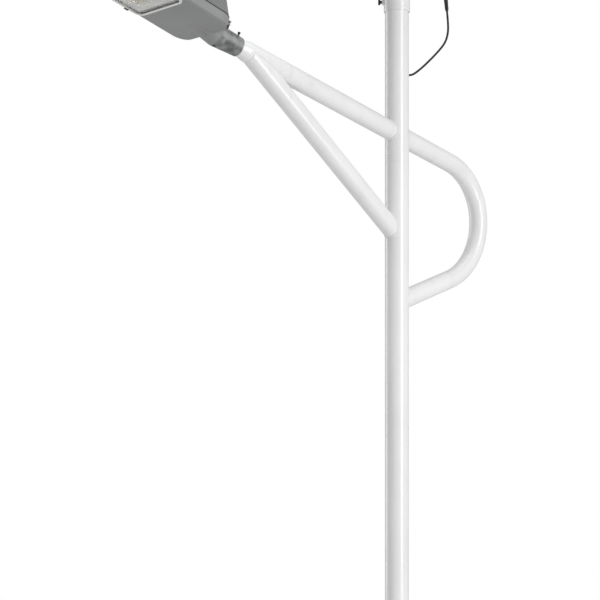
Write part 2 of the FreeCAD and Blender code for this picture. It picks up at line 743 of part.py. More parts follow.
def frame_bars():
    bars = {}
    sides = (("low", 180, PANEL_W, PANEL_L), ("high", 0, PANEL_W, PANEL_L),
             ("near", 90, PANEL_L, PANEL_W), ("far", 270, PANEL_L, PANEL_W))
    for name, heading, length, depth in sides:
        bar = frame_bar(length - 0.1)
        bar.translate(V(0, -depth / 2, 0))
        bar.rotate(V(0, 0, 0), V(0, 0, 1), heading + 90)
        for x in (-RAIL_X, RAIL_X):
            for y in (-BOLT_Y, BOLT_Y):
                bar = bar.cut(rod(V(x, y, PANEL_Z - 5), V(x, y, PANEL_Z + 5), 4.2))
        bars[name] = bar
    return bars


def laminate():
    """Glass, cells and backsheet, stacked in the frame's groove."""
    top = PANEL_Z + PANEL_D - FRAME_WALL - 0.3
    x, y = PANEL_L / 2 - 3, PANEL_W / 2 - 3
    glass = box(-x, x, -y, y, top - 3.2, top)
    cells = box(-x + 14, x - 14, -y + 14, y - 14, top - 3.7, top - 3.2)
    sheet = box(-x, x, -y, y, top - LAMINATE_T, top - 3.7)
    return glass, cells, sheet


BOX_X, GLAND_Y, GLAND_LENGTH = 300.0, 16.0, 13.0


def junction_box():
    """Under the backsheet near the panel's high edge, with two cable glands."""
    top = PANEL_Z + PANEL_D - FRAME_WALL - 0.3 - LAMINATE_T
    body = box(BOX_X - 28, BOX_X + 28, -45, 45, top - 20, top)
    body = body.makeFillet(5, [e for e in body.Edges if abs(e.Length - 20) < 0.1])
    lid = slab(BOX_X - 29, BOX_X + 29, 46, 6, 6, top - 24, top - 20)
    for y in (-GLAND_Y, GLAND_Y):
        low = V(BOX_X, y, top - 24 - GLAND_LENGTH)
        lid = lid.fuse(hexagon(low + V(0, 0, 4), low + V(0, 0, GLAND_LENGTH + 1), 13))
        lid = lid.fuse(rod(low, low + V(0, 0, 6), 5.5))
        mouth = tilted(Part.Vertex(low)).Point
        print(f"gland mouth at ({mouth.x:.1f}, {mouth.y:.1f}, {mouth.z:.1f})")
    return body, lid


# ---- luminaire ---------------------------------------------------------------------------
def lamp_placement():
    turn = FreeCAD.Rotation(V(0, 1, 0), LAMP_TILT)
    turn = turn.multiply(FreeCAD.Rotation(V(0, 0, 1), 180))
    return FreeCAD.Placement(arm_point(NECK_MOUTH), turn)


def placed(shape):
    moved = shape.copy()
    moved.Placement = lamp_placement().multiply(shape.Placement)
    return moved


def lamp_slab(inset, z0, z1):
    return slab(LAMP_REAR + inset, LAMP_FRONT - inset, LAMP_HALF_W - inset,
                REAR_CORNER - inset, FRONT_CORNER - inset, z0, z1)


NECK_LEAN = LAMP_TILT - ARM_TILT


def along_neck(shape):
    """Turn a shape drawn along the lamp's own X so that it lies on the spigot's axis."""
    turned = shape.copy()
    turned.rotate(V(0, 0, 0), V(0, 1, 0), NECK_LEAN)
    return turned


GLASS_REAR, GLASS_FRONT, GLASS_HALF_W = LAMP_REAR + 160, LAMP_FRONT - 20, 109.0
GLASS_CORNER, GLASS_DROP, GLASS_SLOPE = 22.0, 10.0, 38.0
GLASS_T = 3.0
LAP = 10.0
NECK_RING_A = 84.0
NECK_BEND = LAMP_REAR - 22
FAIRING_END, FAIRING_RISE = LAMP_REAR + 67, 12.0
WIRE_HOLE_R = 8.0
HINGE_A, HINGE_H = LAMP_FRONT + 7.0, RIM + SEAL_H / 2
HINGE_W = 78.0
SCREW_A, SCREW_W = LAMP_REAR - 7.4, 74.0
SET_SCREW_A, LOW_SCREW_A = 9.0, 80.0
SET_SCREW_R = 2.5
COVER_DRAFT = 17.0
LUG_T = 5.0


def hinge_rod(w0, w1, r):
    return rod(V(HINGE_A, w0, HINGE_H), V(HINGE_A, w1, HINGE_H), r)


def side_groove():
    """A shallow parting groove round the housing, just above its underside."""
    low, high = UNDERSIDE + 2.2, UNDERSIDE + 3.8
    ring = lamp_slab(-2, low, high).cut(lamp_slab(1.2, low - 1, high + 1))
    return ring.cut(box(0, LAMP_REAR + 5, -45, 45, -60, 60))


def neck_groove():
    """A shallow groove round the neck, where the rough socket begins."""
    start, end = NECK_RING_A, NECK_RING_A + 2.5
    ring = tube(V(start, 0, 0), V(end, 0, 0), 60, NECK_ROOT_R - 0.8)
    return along_neck(ring).cut(box(LAMP_REAR, 200, -90, 90, -90, 90))


def cross_section(centre, half_width, half_height):
    """An elliptical wire that stands square to the X axis."""
    ring = Part.Ellipse(V(0, 0, 0), half_width, half_height).toShape()
    ring.rotate(V(0, 0, 0), V(1, 1, 1), 120)
    ring.translate(centre)
    return Part.Wire([ring])


def neck_fairing():
    """The cast hump that carries the round neck smoothly into the flat underside."""
    round_end = along_neck(cross_section(V(NECK_BEND, 0, 0), NECK_ROOT_R, NECK_ROOT_R))
    flat_end = cross_section(V(FAIRING_END, 0, UNDERSIDE + FAIRING_RISE), 40, FAIRING_RISE)
    hump = Part.makeLoft([round_end, flat_end], True, True)
    return hump.cut(box(0, 300, -90, 90, RIM - 1, 90))


def drain_slot():
    """A short blind slot in the fairing, where water can leave the mould line."""
    return rod(V(118, 12, UNDERSIDE - 10.5), V(128, 17, UNDERSIDE - 7.5), 1.8)


def lamp_housing():
    body = lamp_slab(0, UNDERSIDE, RIM)
    bottom = [e for e in body.Edges if e.BoundBox.ZMax < UNDERSIDE + 0.01]
    body = body.makeChamfer(2.0, bottom)
    neck = Part.makeCone(NECK_MOUTH_R, NECK_ROOT_R, NECK_BEND, V(0, 0, 0), V(1, 0, 0))
    root = along_neck(Part.makeCone(NECK_ROOT_R, 38, 34, V(NECK_BEND, 0, 0), V(1, 0, 0)))
    root = root.cut(box(0, 200, -90, 90, -90, UNDERSIDE + 10))
    body = body.fuse(along_neck(neck)).fuse(root).fuse(neck_fairing())
    hollow = lamp_slab(CAST_WALL, UNDERSIDE + CAST_WALL, 200)
    keep = rod(V(LAMP_REAR - 40, 0, 0), V(LAMP_REAR + 9, 0, 0), 40)
    body = body.cut(hollow.cut(keep))
    body = body.cut(box(LAMP_REAR + 9, LAMP_REAR + 60, -60, 60, UNDERSIDE + CAST_WALL, 90))
    body = body.cut(along_neck(rod(V(-5, 0, 0), V(SPIGOT_LENGTH + 2, 0, 0), NECK_BORE / 2)))
    body = body.cut(along_neck(rod(V(0, 0, 0), V(LAMP_REAR + 20, 0, 0), WIRE_HOLE_R)))
    window = slab(GLASS_REAR + LAP, GLASS_FRONT - LAP, GLASS_HALF_W - LAP,
                  GLASS_CORNER - LAP, GLASS_CORNER - LAP, UNDERSIDE - 1, UNDERSIDE + CAST_WALL + 1)
    body = body.cut(window)
    for w in (-HINGE_W, HINGE_W):
        foot = box(LAMP_FRONT - 2, HINGE_A, w - 9, w + 9, RIM - 5, RIM - 0.1)
        knuckle = hinge_rod(w - 9, w + 9, 5).fuse(foot)
        body = body.fuse(knuckle.cut(hinge_rod(w - 30, w + 30, 2.5 + FIT)))
    for w in (-SCREW_W, SCREW_W):
        lug = box(SCREW_A - 6, LAMP_REAR + 6, w - 6, w + 6, RIM - LUG_T, RIM)
        lug = lug.cut(lamp_slab(CAST_WALL - 1, UNDERSIDE, 90))
        body = body.fuse(lug)
        body = body.cut(rod(V(SCREW_A, w, RIM - 20), V(SCREW_A, w, RIM + 2), 2.5 + FIT))
    for a, h0, h1 in ((SET_SCREW_A, 20, 60), (LOW_SCREW_A, -60, -20)):
        body = body.cut(along_neck(rod(V(a, 0, h0), V(a, 0, h1), SET_SCREW_R + FIT)))
    body = body.cut(along_neck(rod(V(LOW_SCREW_A, 0, -60), V(LOW_SCREW_A, 0, -30.5), 6.5)))
    return body.cut(side_groove()).cut(neck_groove()).cut(drain_slot())


def drafted_slab(inset, z0, z1):
    """A rounded block whose four walls lean inwards."""
    lean = (z1 - z0) * math.tan(math.radians(COVER_DRAFT))
    wires = []
    for extra, z in ((inset, z0), (inset + lean, z1)):
        wires.append(outline(LAMP_REAR + extra, LAMP_FRONT - extra, LAMP_HALF_W - extra,
                             REAR_CORNER - inset, FRONT_CORNER - inset, z))
    return Part.makeLoft(wires, True, True)


def lamp_cover():
    low = RIM + SEAL_H
    body = drafted_slab(1, low, COVER_TOP)
    body = top_fillet(body, COVER_TOP, COVER_EDGE_R)
    inner = drafted_slab(1 + CAST_WALL, low, COVER_TOP - CAST_WALL)
    inner = top_fillet(inner, COVER_TOP - CAST_WALL, COVER_EDGE_R - CAST_WALL)
    for k in range(-5, 6):
        fin = box(GLASS_REAR + 30, LAMP_FRONT - 60, 15 * k - 1.5, 15 * k + 1.5, COVER_TOP - 2, COVER_TOP + 10)
        ends = [e for e in fin.Edges if abs(e.Length - 3) < 0.1 and e.BoundBox.ZMin > COVER_TOP + 9]
        body = body.fuse(fin.makeFillet(8, ends))
    body = body.cut(rod(V(LAMP_REAR - 20, 0, 0), V(LAMP_REAR + 14, 0, 0), 41))
    for w in (-HINGE_W, HINGE_W):
        for w0, w1 in ((w - 22, w - 9.4), (w + 9.4, w + 22)):
            foot = box(LAMP_FRONT - 3, HINGE_A, w0, w1, HINGE_H + 1.6, HINGE_H + 5)
            foot = foot.fuse(box(LAMP_FRONT - 8, LAMP_FRONT + 2, w0, w1, HINGE_H + 1.6, HINGE_H + 14))
            knuckle = hinge_rod(w0, w1, 5).fuse(foot)
            body = body.fuse(knuckle.cut(hinge_rod(w - 60, w + 60, 2.5 + FIT)))
    for w in (-SCREW_W, SCREW_W):
        lug = box(SCREW_A - 6, LAMP_REAR + 6, w - 6, w + 6, low, low + LUG_T)
        body = body.fuse(lug)
        body = body.cut(rod(V(SCREW_A, w, low - 1), V(SCREW_A, w, low + 20), 2.8))
    return body.cut(inner)


def cover_seal():
    ring = lamp_slab(0, RIM, RIM + SEAL_H).cut(lamp_slab(6, RIM - 1, RIM + SEAL_H + 1))
    arch = rod(V(LAMP_REAR - 4, 0, 0), V(LAMP_REAR + 20, 0, 0), 41.2)
    return ring.cut(arch)


def lamp_hinge_pins():
    pins = []
    for w in (-HINGE_W, HINGE_W):
        pin = hinge_rod(w - 23, w + 23, 2.5)
        pins.append(pin.fuse(hinge_rod(w + 22.3, w + 24.3, 4.2)))
    return pins


def cover_screw(w):
    """Black thumb screw that is captive in the housing's lug."""
    low = RIM - LUG_T
    shank = rod(V(SCREW_A, w, low - 1), V(SCREW_A, w, RIM + SEAL_H + LUG_T + 2), 2.5)
    knob = rod(V(SCREW_A, w, low - 9), V(SCREW_A, w, low - 0.2), 6.5)
    grips = []
    for k in range(10):
        a = math.radians(36 * k)
        at = V(SCREW_A + 6.9 * math.cos(a), w + 6.9 * math.sin(a), low - 10)
        grips.append(rod(at, at + V(0, 0, 11), 1.1))
    for grip in grips:
        knob = knob.cut(grip)
    return shank.fuse(knob)


def set_screws():
    """One hexagon screw on top of the neck, and one sunk in its underside."""
    top = rod(V(SET_SCREW_A, 0, 24.2), V(SET_SCREW_A, 0, 40), SET_SCREW_R)
    top = top.fuse(hexagon(V(SET_SCREW_A, 0, 38), V(SET_SCREW_A, 0, 42), 8))
    low = rod(V(LOW_SCREW_A, 0, -24.2), V(LOW_SCREW_A, 0, -31), SET_SCREW_R)
    low = low.cut(hexagon(V(LOW_SCREW_A, 0, -32), V(LOW_SCREW_A, 0, -28.5), 3))
    return along_neck(top), along_neck(low)


def loft(rear0, front0, half0, corner0, z0, rear1, front1, half1, corner1, z1):
    wires = [outline(rear0, front0, half0, corner0, corner0, z0),
             outline(rear1, front1, half1, corner1, corner1, z1)]
    return Part.makeLoft(wires, True, True)


def glass_slab(inset, z0, z1):
    return slab(GLASS_REAR + inset, GLASS_FRONT - inset, GLASS_HALF_W - inset,
                GLASS_CORNER - inset, GLASS_CORNER - inset, z0, z1)


def glass_loft(inset0, z0, inset1, z1):
    corner0, corner1 = GLASS_CORNER - inset0 / 2, GLASS_CORNER - inset1 / 4
    return loft(GLASS_REAR + inset0, GLASS_FRONT - inset0, GLASS_HALF_W - inset0, corner0, z0,
                GLASS_REAR + inset1, GLASS_FRONT - inset1, GLASS_HALF_W - inset1, corner1, z1)


def lamp_glass():
    """A shallow pressed glass: a flat middle, a sloped band and a flat flange."""
    top = UNDERSIDE - 0.4
    low = top - GLASS_T
    flange = glass_slab(1.8, low, top)
    dome = glass_loft(5, low, 5 + GLASS_SLOPE, low - GLASS_DROP)
    hollow = glass_loft(8, top + 0.5, 7 + GLASS_SLOPE, top - GLASS_DROP)
    return flange.fuse(dome).cut(hollow)


def glass_frame():
    """Thin dark frame that holds the glass by its flange."""
    top = UNDERSIDE - 0.1
    outer = glass_slab(-2.5, top - 4.9, top)
    pocket = glass_slab(1.4, top - 3.6, top + 1)
    hole = glass_slab(4.0, top - 8, top + 1)
    return outer.cut(pocket).cut(hole)


def glass_clips():
    """Six spring clips that hold the frame along its two long sides."""
    clips = []
    top = UNDERSIDE
    for a in (GLASS_REAR + 44, (GLASS_REAR + GLASS_FRONT) / 2, GLASS_FRONT - 44):
        for side in (-1, 1):
            outside = side * (GLASS_HALF_W + 6.5)
            foot_edge = side * (GLASS_HALF_W + 2.7)
            lip_edge = side * (GLASS_HALF_W - 1)
            foot = box(a - 6, a + 6, min(foot_edge, outside), max(foot_edge, outside), top - 5.2, top)
            lip = box(a - 6, a + 6, min(lip_edge, outside), max(lip_edge, outside), top - 6.6, top - 5.2)
            clips.append(foot.fuse(lip))
    return clips


REFLECTOR_LOW, REFLECTOR_HIGH = UNDERSIDE + 0.3, 20.0
BOARD_HALF_W = 56.0
FLANGE_INSET = 40.0
BOARD_REAR, BOARD_FRONT = GLASS_REAR + 50, GLASS_FRONT - 50


def reflector():
    """A flat white flange behind the glass's sloped band, then walls up to the LED board."""
    t = 1.2
    low, high = REFLECTOR_LOW, REFLECTOR_HIGH
    r0, f0, w0 = GLASS_REAR + FLANGE_INSET, GLASS_FRONT - FLANGE_INSET, GLASS_HALF_W - FLANGE_INSET
    flange = glass_slab(LAP + 0.5, low, low + t)
    r1, f1, w1 = BOARD_REAR, BOARD_FRONT, BOARD_HALF_W
    outer = loft(r0 - t, f0 + t, w0 + t, 6, low, r1 - t, f1 + t, w1 + t, 6, high)
    inner = loft(r0, f0, w0, 5, low - 0.01, r1, f1, w1, 5, high + 0.01)
    return flange.fuse(outer).cut(inner)


def led_parts():
    high = REFLECTOR_HIGH
    board = box(BOARD_REAR + 1, BOARD_FRONT - 1, -BOARD_HALF_W + 1, BOARD_HALF_W - 1, high, high + 1.6)
    plate = box(BOARD_REAR - 12, BOARD_FRONT + 12, -70, 70, high + 1.6, high + 5.6)
    for a in (BOARD_REAR - 4, BOARD_FRONT + 4):
        for w in (-90, 90):
            tab = box(a - 8, a + 8, min(w, w * 0.6), max(w, w * 0.6), high + 1.6, high + 5.6)
            plate = plate.fuse(tab)
            plate = plate.fuse(rod(V(a, w * 1.12, UNDERSIDE + CAST_WALL), V(a, w * 1.12, high + 5.6), 5))
            plate = plate.fuse(box(a - 8, a + 8, min(w, w * 1.15), max(w, w * 1.15), high + 1.6, high + 5.6))
    chips = []
    columns, rows = 9, 4
    for i in range(columns):
        for j in range(rows):
            a = BOARD_REAR + (BOARD_FRONT - BOARD_REAR) * (i + 0.5) / columns
            w = -BOARD_HALF_W + 2 * BOARD_HALF_W * (j + 0.5) / rows
            chips.append(box(a - 3.5, a + 3.5, w - 3.5, w + 3.5, high - 1.4, high))
    return board, plate, chips


def driver():
    low = UNDERSIDE + CAST_WALL
    case = box(LAMP_REAR + 54, LAMP_REAR + 144, -38, 38, low, low + 32)
    case = case.makeFillet(3, [e for e in case.Edges if e.BoundBox.ZMin > low + 31.9])
    block = box(LAMP_REAR + 24, LAMP_REAR + 42, -30, 30, low, low + 16)
    for k in range(6):
        w = -27 + 9.6 * k
        block = block.cut(box(LAMP_REAR + 22, LAMP_REAR + 32, w, w + 6, low + 6, low + 20))
    return case, block


# ---- build -------------------------------------------------------------------------------
def build_base():
    save("base_plate", base_plate())
    save("base_gussets", *base_gussets())
    save("base_tube", base_tube())
    save("reducing_cone", cone())
    save("pole_tube", pole_tube())
    save("door_seal", door_seal())
    save("door_cover", door_cover())
    save("door_hinge_tabs", *hinge_tabs())
    save("door_hinge_pins", *hinge_pins())
    save("door_lock_body", lock_body())
    save("door_lock_cam", lock_cam())
    plate, blocks, screws = equipment()
    save("equipment_plate", plate)
    save("plate_brackets", *blocks)
    save("bracket_screws", *screws)
    save("battery_pack", battery())
    save("battery_terminals", *battery_terminals())
    save("battery_straps", *battery_straps())
    save("charge_controller", controller())


def build_arm():
    save("arm_tube", arm_tube())
    save("brace_tube", brace_tube())
    save("loop_tube", loop_tube())


def build_cable():
    save("cable_grommet", grommet())
    save("panel_cable", cord_tube(route_points(ROUTE), CABLE_D, "panel cable"))
    save("cable_splice", splice())
    save("panel_leads", *[cord_tube(route_points(r), LEAD_D, "panel lead") for r in LEAD_ROUTES])


def build_panel():
    save("panel_sleeve", sleeve())
    save("sleeve_bolts", *sleeve_bolts())
    save("tilt_yoke", tilt_yoke())
    save("tilt_pivot_bolt", pivot_bolt())
    save("tilt_head", tilted(tilt_head()))
    save("tilt_lock_bolts", *[tilted(b) for b in lock_bolts()])
    beam, rails = cradle()
    save("cradle_beam", tilted(beam))
    save("panel_rails", *[tilted(r) for r in rails])
    save("rail_bolts", *[tilted(b) for b in rail_bolts()])
    save("frame_bolts", *[tilted(b) for b in frame_bolts()])
    for name, bar in frame_bars().items():
        save(f"panel_frame_{name}", tilted(bar))
    glass, cells, sheet = laminate()
    save("panel_glass", tilted(glass))
    save("panel_cells", tilted(cells))
    save("panel_backsheet", tilted(sheet))
    body, lid = junction_box()
    save("junction_box", tilted(body))
    save("junction_box_lid", tilted(lid))


def build_lamp():
    save("lamp_housing", placed(lamp_housing()))
    save("lamp_cover", placed(lamp_cover()))
    save("cover_seal", placed(cover_seal()))
    save("cover_hinge_pins", *[placed(p) for p in lamp_hinge_pins()])
    save("cover_screw_near", placed(cover_screw(SCREW_W)))
    save("cover_screw_far", placed(cover_screw(-SCREW_W)))
    save("neck_set_screws", *[placed(s) for s in set_screws()])
    save("lamp_glass", placed(lamp_glass()))
    save("glass_frame", placed(glass_frame()))
    save("glass_clips", *[placed(c) for c in glass_clips()])
    save("reflector", placed(reflector()))
    board, plate, chips = led_parts()
    save("led_board", placed(board))
    save("led_heat_plate", placed(plate))
    save("led_chips", *[placed(c) for c in chips])
    case, block = driver()
    save("led_driver", placed(case))
    save("terminal_block", placed(block))


build_base()
build_arm()
build_cable()
build_panel()
build_lamp()
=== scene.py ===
# %% [markdown]
# # A solar street lamp
# The lamp is a white steel pole with a welded arm, brace and loop, a cast grey luminaire,
# and a solar panel on a turning head. The CAD model gives every solid part in its right place.
# This lesson loads it as a frame, lays the flexible cables, adds the small things that CAD
# leaves out (weld beads, a pleated reflector, LED lenses), and gives each surface its finish.

# %% Load the frame
import json
import math
import bpy
import bmesh
from mathutils import Matrix, Vector


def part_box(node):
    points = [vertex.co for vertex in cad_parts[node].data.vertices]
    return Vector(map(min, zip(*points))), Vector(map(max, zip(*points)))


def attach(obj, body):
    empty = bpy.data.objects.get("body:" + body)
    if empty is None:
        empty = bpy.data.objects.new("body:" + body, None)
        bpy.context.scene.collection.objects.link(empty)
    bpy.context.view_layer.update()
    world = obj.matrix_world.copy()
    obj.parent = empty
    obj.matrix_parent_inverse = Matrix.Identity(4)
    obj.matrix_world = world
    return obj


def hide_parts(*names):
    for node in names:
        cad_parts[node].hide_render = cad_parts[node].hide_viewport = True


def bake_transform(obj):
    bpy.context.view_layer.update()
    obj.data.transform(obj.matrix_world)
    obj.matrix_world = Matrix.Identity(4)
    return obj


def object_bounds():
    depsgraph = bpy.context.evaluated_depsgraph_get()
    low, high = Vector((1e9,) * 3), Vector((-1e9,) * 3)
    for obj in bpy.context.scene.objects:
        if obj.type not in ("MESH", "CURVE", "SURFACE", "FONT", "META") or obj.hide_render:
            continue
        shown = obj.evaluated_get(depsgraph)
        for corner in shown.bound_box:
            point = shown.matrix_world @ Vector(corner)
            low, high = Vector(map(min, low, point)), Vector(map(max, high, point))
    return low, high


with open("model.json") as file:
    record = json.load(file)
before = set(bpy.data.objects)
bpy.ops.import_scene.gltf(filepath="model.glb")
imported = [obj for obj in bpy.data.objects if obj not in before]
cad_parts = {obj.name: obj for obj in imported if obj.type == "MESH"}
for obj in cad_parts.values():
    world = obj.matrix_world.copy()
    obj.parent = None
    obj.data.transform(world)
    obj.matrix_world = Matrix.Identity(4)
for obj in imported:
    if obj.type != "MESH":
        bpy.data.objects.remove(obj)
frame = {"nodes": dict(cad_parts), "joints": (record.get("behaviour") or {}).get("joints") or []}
cad_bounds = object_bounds()
nodes = frame["nodes"]
joints = {joint["name"]: joint for joint in frame["joints"]}

# %% [markdown]
# ## The camera
# A long lens held level keeps the pole upright without leaning lines. The camera stands
# about 3.8 m from the pole, to the left of its front, at the height of the brace, and a very
# small vertical shift frames the arm. Plain "Standard" colour keeps white paint white.

# %% Stand the camera beside the pole
scene = bpy.context.scene
scene.view_settings.view_transform = "Standard"
lens_data = bpy.data.cameras.new("level_view")
lens_data.sensor_width = 36.0
lens_data.lens = 72.4
lens_data.shift_y = -0.0148
camera = bpy.data.objects.new("level_view", lens_data)
camera.location = (-2.697, -2.755, 2.972)
camera.rotation_euler = (math.radians(90), 0, math.radians(-39.8))
scene.collection.objects.link(camera)
scene.camera = camera
print("camera at", tuple(camera.location))

# %% [markdown]
# ## The panel cable and its leads
# A rubber cable leaves the pole through a grommet, hangs out in a slack bow and rises to a
# moulded Y, where two leads go on up to the panel. A NURBS spline makes such a line: its
# points pull the curve without corners. The same curve gives the centre line when it has no
# bevel, and the round tube when it has one.

# %% Control points of the three cords, in metres
CABLE_POINTS = (
    (0.0430, 0, 3.6655),
    (0.0620, 0, 3.6655),
    (0.0870, 0, 3.6780),
    (0.1245, 0, 3.7050),
    (0.1620, 0, 3.7355),
    (0.1955, 0, 3.7645),
    (0.2230, 0, 3.7930),
    (0.2365, 0, 3.8250),
    (0.2365, 0, 3.8620),
    (0.2310, 0, 3.8985),
)
NEAR_LEAD_POINTS = (
    (0.2228, -0.0044, 3.9539),
    (0.2184, -0.0079, 3.9834),
    (0.2180, -0.0130, 4.0360),
    (0.2210, -0.0170, 4.1000),
    (0.2280, -0.0190, 4.1660),
    (0.2355, -0.0185, 4.2300),
    (0.2380, -0.0170, 4.2800),
    (0.2330, -0.0160, 4.3208),
    (0.2215, -0.0160, 4.3425),
)
FAR_LEAD_POINTS = (
    (0.2228, 0.0044, 3.9539),
    (0.2184, 0.0079, 3.9834),
    (0.2190, 0.0110, 4.0350),
    (0.2250, 0.0135, 4.0980),
    (0.2330, 0.0155, 4.1650),
    (0.2390, 0.0165, 4.2300),
    (0.2390, 0.0160, 4.2820),
    (0.2330, 0.0160, 4.3208),
    (0.2215, 0.0160, 4.3425),
)
CABLE_RADIUS = 0.0035
LEAD_RADIUS = 0.00275


# %% A cord from one NURBS spline
def add_to_scene(name, mesh):
    piece = bpy.data.objects.new(name, mesh)
    scene.collection.objects.link(piece)
    return piece


def curve_mesh(curve):
    """The mesh that a curve makes: a line without a bevel, a tube with one."""
    carrier = add_to_scene("curve_carrier", curve)
    ready = carrier.evaluated_get(bpy.context.evaluated_depsgraph_get())
    mesh = bpy.data.meshes.new_from_object(ready)
    bpy.data.objects.remove(carrier)
    return mesh


def lay_cord(name, points, radius):
    """A mesh tube on a smooth NURBS line, and the points of that line."""
    curve = bpy.data.curves.new(name, "CURVE")
    curve.dimensions = "3D"
    curve.resolution_u = 14
    spline = curve.splines.new("NURBS")
    spline.points.add(len(points) - 1)
    for knot, place in zip(spline.points, points):
        knot.co = (*place, 1.0)
    spline.order_u = 3
    spline.use_endpoint_u = True
    line = [vertex.co.copy() for vertex in curve_mesh(curve).vertices]
    curve.bevel_depth = radius
    curve.bevel_resolution = 5
    curve.use_fill_caps = True
    tube = add_to_scene(name, curve_mesh(curve))
    tube.data.shade_smooth()
    length = sum((b - a).length for a, b in zip(line, line[1:]))
    print(f"{name}: {len(line)} points on the line, {length * 1000:.0f} mm long")
    return tube, line, length


# %% Lay the cable from the pole's grommet to the moulded Y
cable, cable_line, cable_length = lay_cord("panel_cable_tube", CABLE_POINTS, CABLE_RADIUS)
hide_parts("panel_cable")
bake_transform(cable)

# %% Lay the two leads from the moulded Y up to the panel
lead_routes = {"panel_lead_near": NEAR_LEAD_POINTS, "panel_lead_far": FAR_LEAD_POINTS}
leads = []
for name, points in lead_routes.items():
    lead, lead_line, lead_length = lay_cord(name, points, LEAD_RADIUS)
    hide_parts("panel_leads")
    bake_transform(lead)
    leads.append(lead)

# %% [markdown]
# ## Two local frames
# The luminaire and the panel both lean, so it is easier to model on them in frames of their
# own. The joints say where they are: the roll joint sits at the mouth of the luminaire's
# neck, the cover's screws point square to its underside, and the tilt joint is the panel's
# pivot. A matrix built from three directions turns local places into places in the world.


# %% Build the luminaire's and the panel's frames
def axes_matrix(origin, along, across, up):
    turn = Matrix((along, across, up)).transposed().to_4x4()
    return Matrix.Translation(origin) @ turn


lamp_up = Vector(joints["cover_screw_near_turn"]["axis"]).normalized()
lamp_across = Vector((0, -1, 0))
lamp_along = lamp_across.cross(lamp_up)
LAMP = axes_matrix(Vector(joints["lamp_roll"]["pos_m"]), lamp_along, lamp_across, lamp_up)

widest = max(nodes["panel_glass"].data.polygons, key=lambda face: face.area)
panel_up = widest.normal if widest.normal.z > 0 else -widest.normal
panel_across = Vector((0, 1, 0))
panel_along = panel_across.cross(panel_up)
PANEL = axes_matrix(Vector(joints["panel_tilt"]["pos_m"]), panel_along, panel_across, panel_up)
print("luminaire leans", round(math.degrees(math.asin(lamp_along.z)), 1), "degrees")
print("panel leans", round(math.degrees(math.acos(panel_up.z)), 1), "degrees")


# %% Measure a CAD node in a local frame
def local_box(node, matrix):
    """Lowest and highest corner of a CAD node in a local frame."""
    places = [matrix.inverted() @ vertex.co for vertex in nodes[node].data.vertices]
    low = Vector([min(place[k] for place in places) for k in range(3)])
    high = Vector([max(place[k] for place in places) for k in range(3)])
    return low, high


housing_low, housing_high = local_box("lamp_housing", LAMP)
print("housing is", round(housing_high.x - housing_low.x, 3), "m long in its own frame")


# %% [markdown]
# ## Making pieces
# Each new piece starts as a bmesh, is shaped by operators, and ends as an object at the
# origin whose place is in its mesh. One helper writes the bmesh out, smooths it, and puts the
# piece on the CAD body that it moves with.

# %% A helper that finishes a piece
def finish_piece(name, shape, body, smooth=True):
    """Write a bmesh out as a piece that rides on a body."""
    bmesh.ops.recalc_face_normals(shape, faces=shape.faces)
    mesh = bpy.data.meshes.new(name)
    shape.to_mesh(mesh)
    shape.free()
    if smooth:
        mesh.shade_smooth()
    piece = add_to_scene(name, mesh)
    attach(piece, body)
    return piece


def turn_to(direction):
    """The rotation that takes Z to a direction."""
    return direction.to_track_quat("Z", "Y").to_matrix().to_4x4()


# %% [markdown]
# ## Weld beads
# Where the welder joins two tubes, a rippled bead of metal follows the line where they meet.
# A round section spun about the branch tube's axis gives a ring. Each point of the ring then
# slides along that axis until the ring lies on the other tube, which bends it into the
# saddle shape of a real joint. A gentle wave in the bead's thickness gives the ripples.

# %% A saddle-shaped bead round a branch tube
RING_STEPS = 96
SADDLE_RIPPLES, SADDLE_SWELL = 44, 0.12


def spun_ring(ring_radius, bead):
    ring = bmesh.new()
    made = bmesh.ops.create_circle(ring, radius=bead, segments=8)
    stand = Matrix.Translation((ring_radius, 0, 0)) @ Matrix.Rotation(math.radians(90), 4, "X")
    bmesh.ops.transform(ring, matrix=stand, verts=made["verts"])
    bmesh.ops.spin(
        ring,
        geom=ring.verts[:] + ring.edges[:],
        cent=(0, 0, 0),
        axis=(0, 0, 1),
        angle=math.tau,
        steps=RING_STEPS,
        use_merge=True,
    )
    return ring


def ripple(ring, ring_radius, count, depth):
    for vertex in ring.verts:
        angle = math.atan2(vertex.co.y, vertex.co.x)
        core = Vector((math.cos(angle), math.sin(angle), 0)) * ring_radius
        swell = 1 + depth * math.sin(count * angle)
        vertex.co = core + (vertex.co - core) * swell


def slide_to_tube(start, direction, tube_point, tube_axis, tube_radius):
    """How far along a direction a point goes until it reaches the outside of a tube."""
    offset = start - tube_point
    offset = offset - tube_axis * offset.dot(tube_axis)
    heading = direction - tube_axis * direction.dot(tube_axis)
    a = heading.length_squared
    b = 2 * offset.dot(heading)
    c = offset.length_squared - tube_radius**2
    return (-b + math.sqrt(max(b * b - 4 * a * c, 0))) / (2 * a)


def saddle_bead(name, foot, direction, branch_radius, tube_axis, tube_radius, bead, body):
    ring = spun_ring(branch_radius, bead)
    ripple(ring, branch_radius, SADDLE_RIPPLES, SADDLE_SWELL)
    turn = turn_to(direction)
    for vertex in ring.verts:
        angle = math.atan2(vertex.co.y, vertex.co.x)
        core = Vector((math.cos(angle), math.sin(angle), 0)) * branch_radius
        start = foot + turn @ core
        reach = slide_to_tube(start, direction, foot, tube_axis, tube_radius)
        vertex.co = foot + turn @ vertex.co + direction * reach
    piece = finish_piece(name, ring, body)
    print(f"{name}: {len(piece.data.polygons)} faces")
    return piece


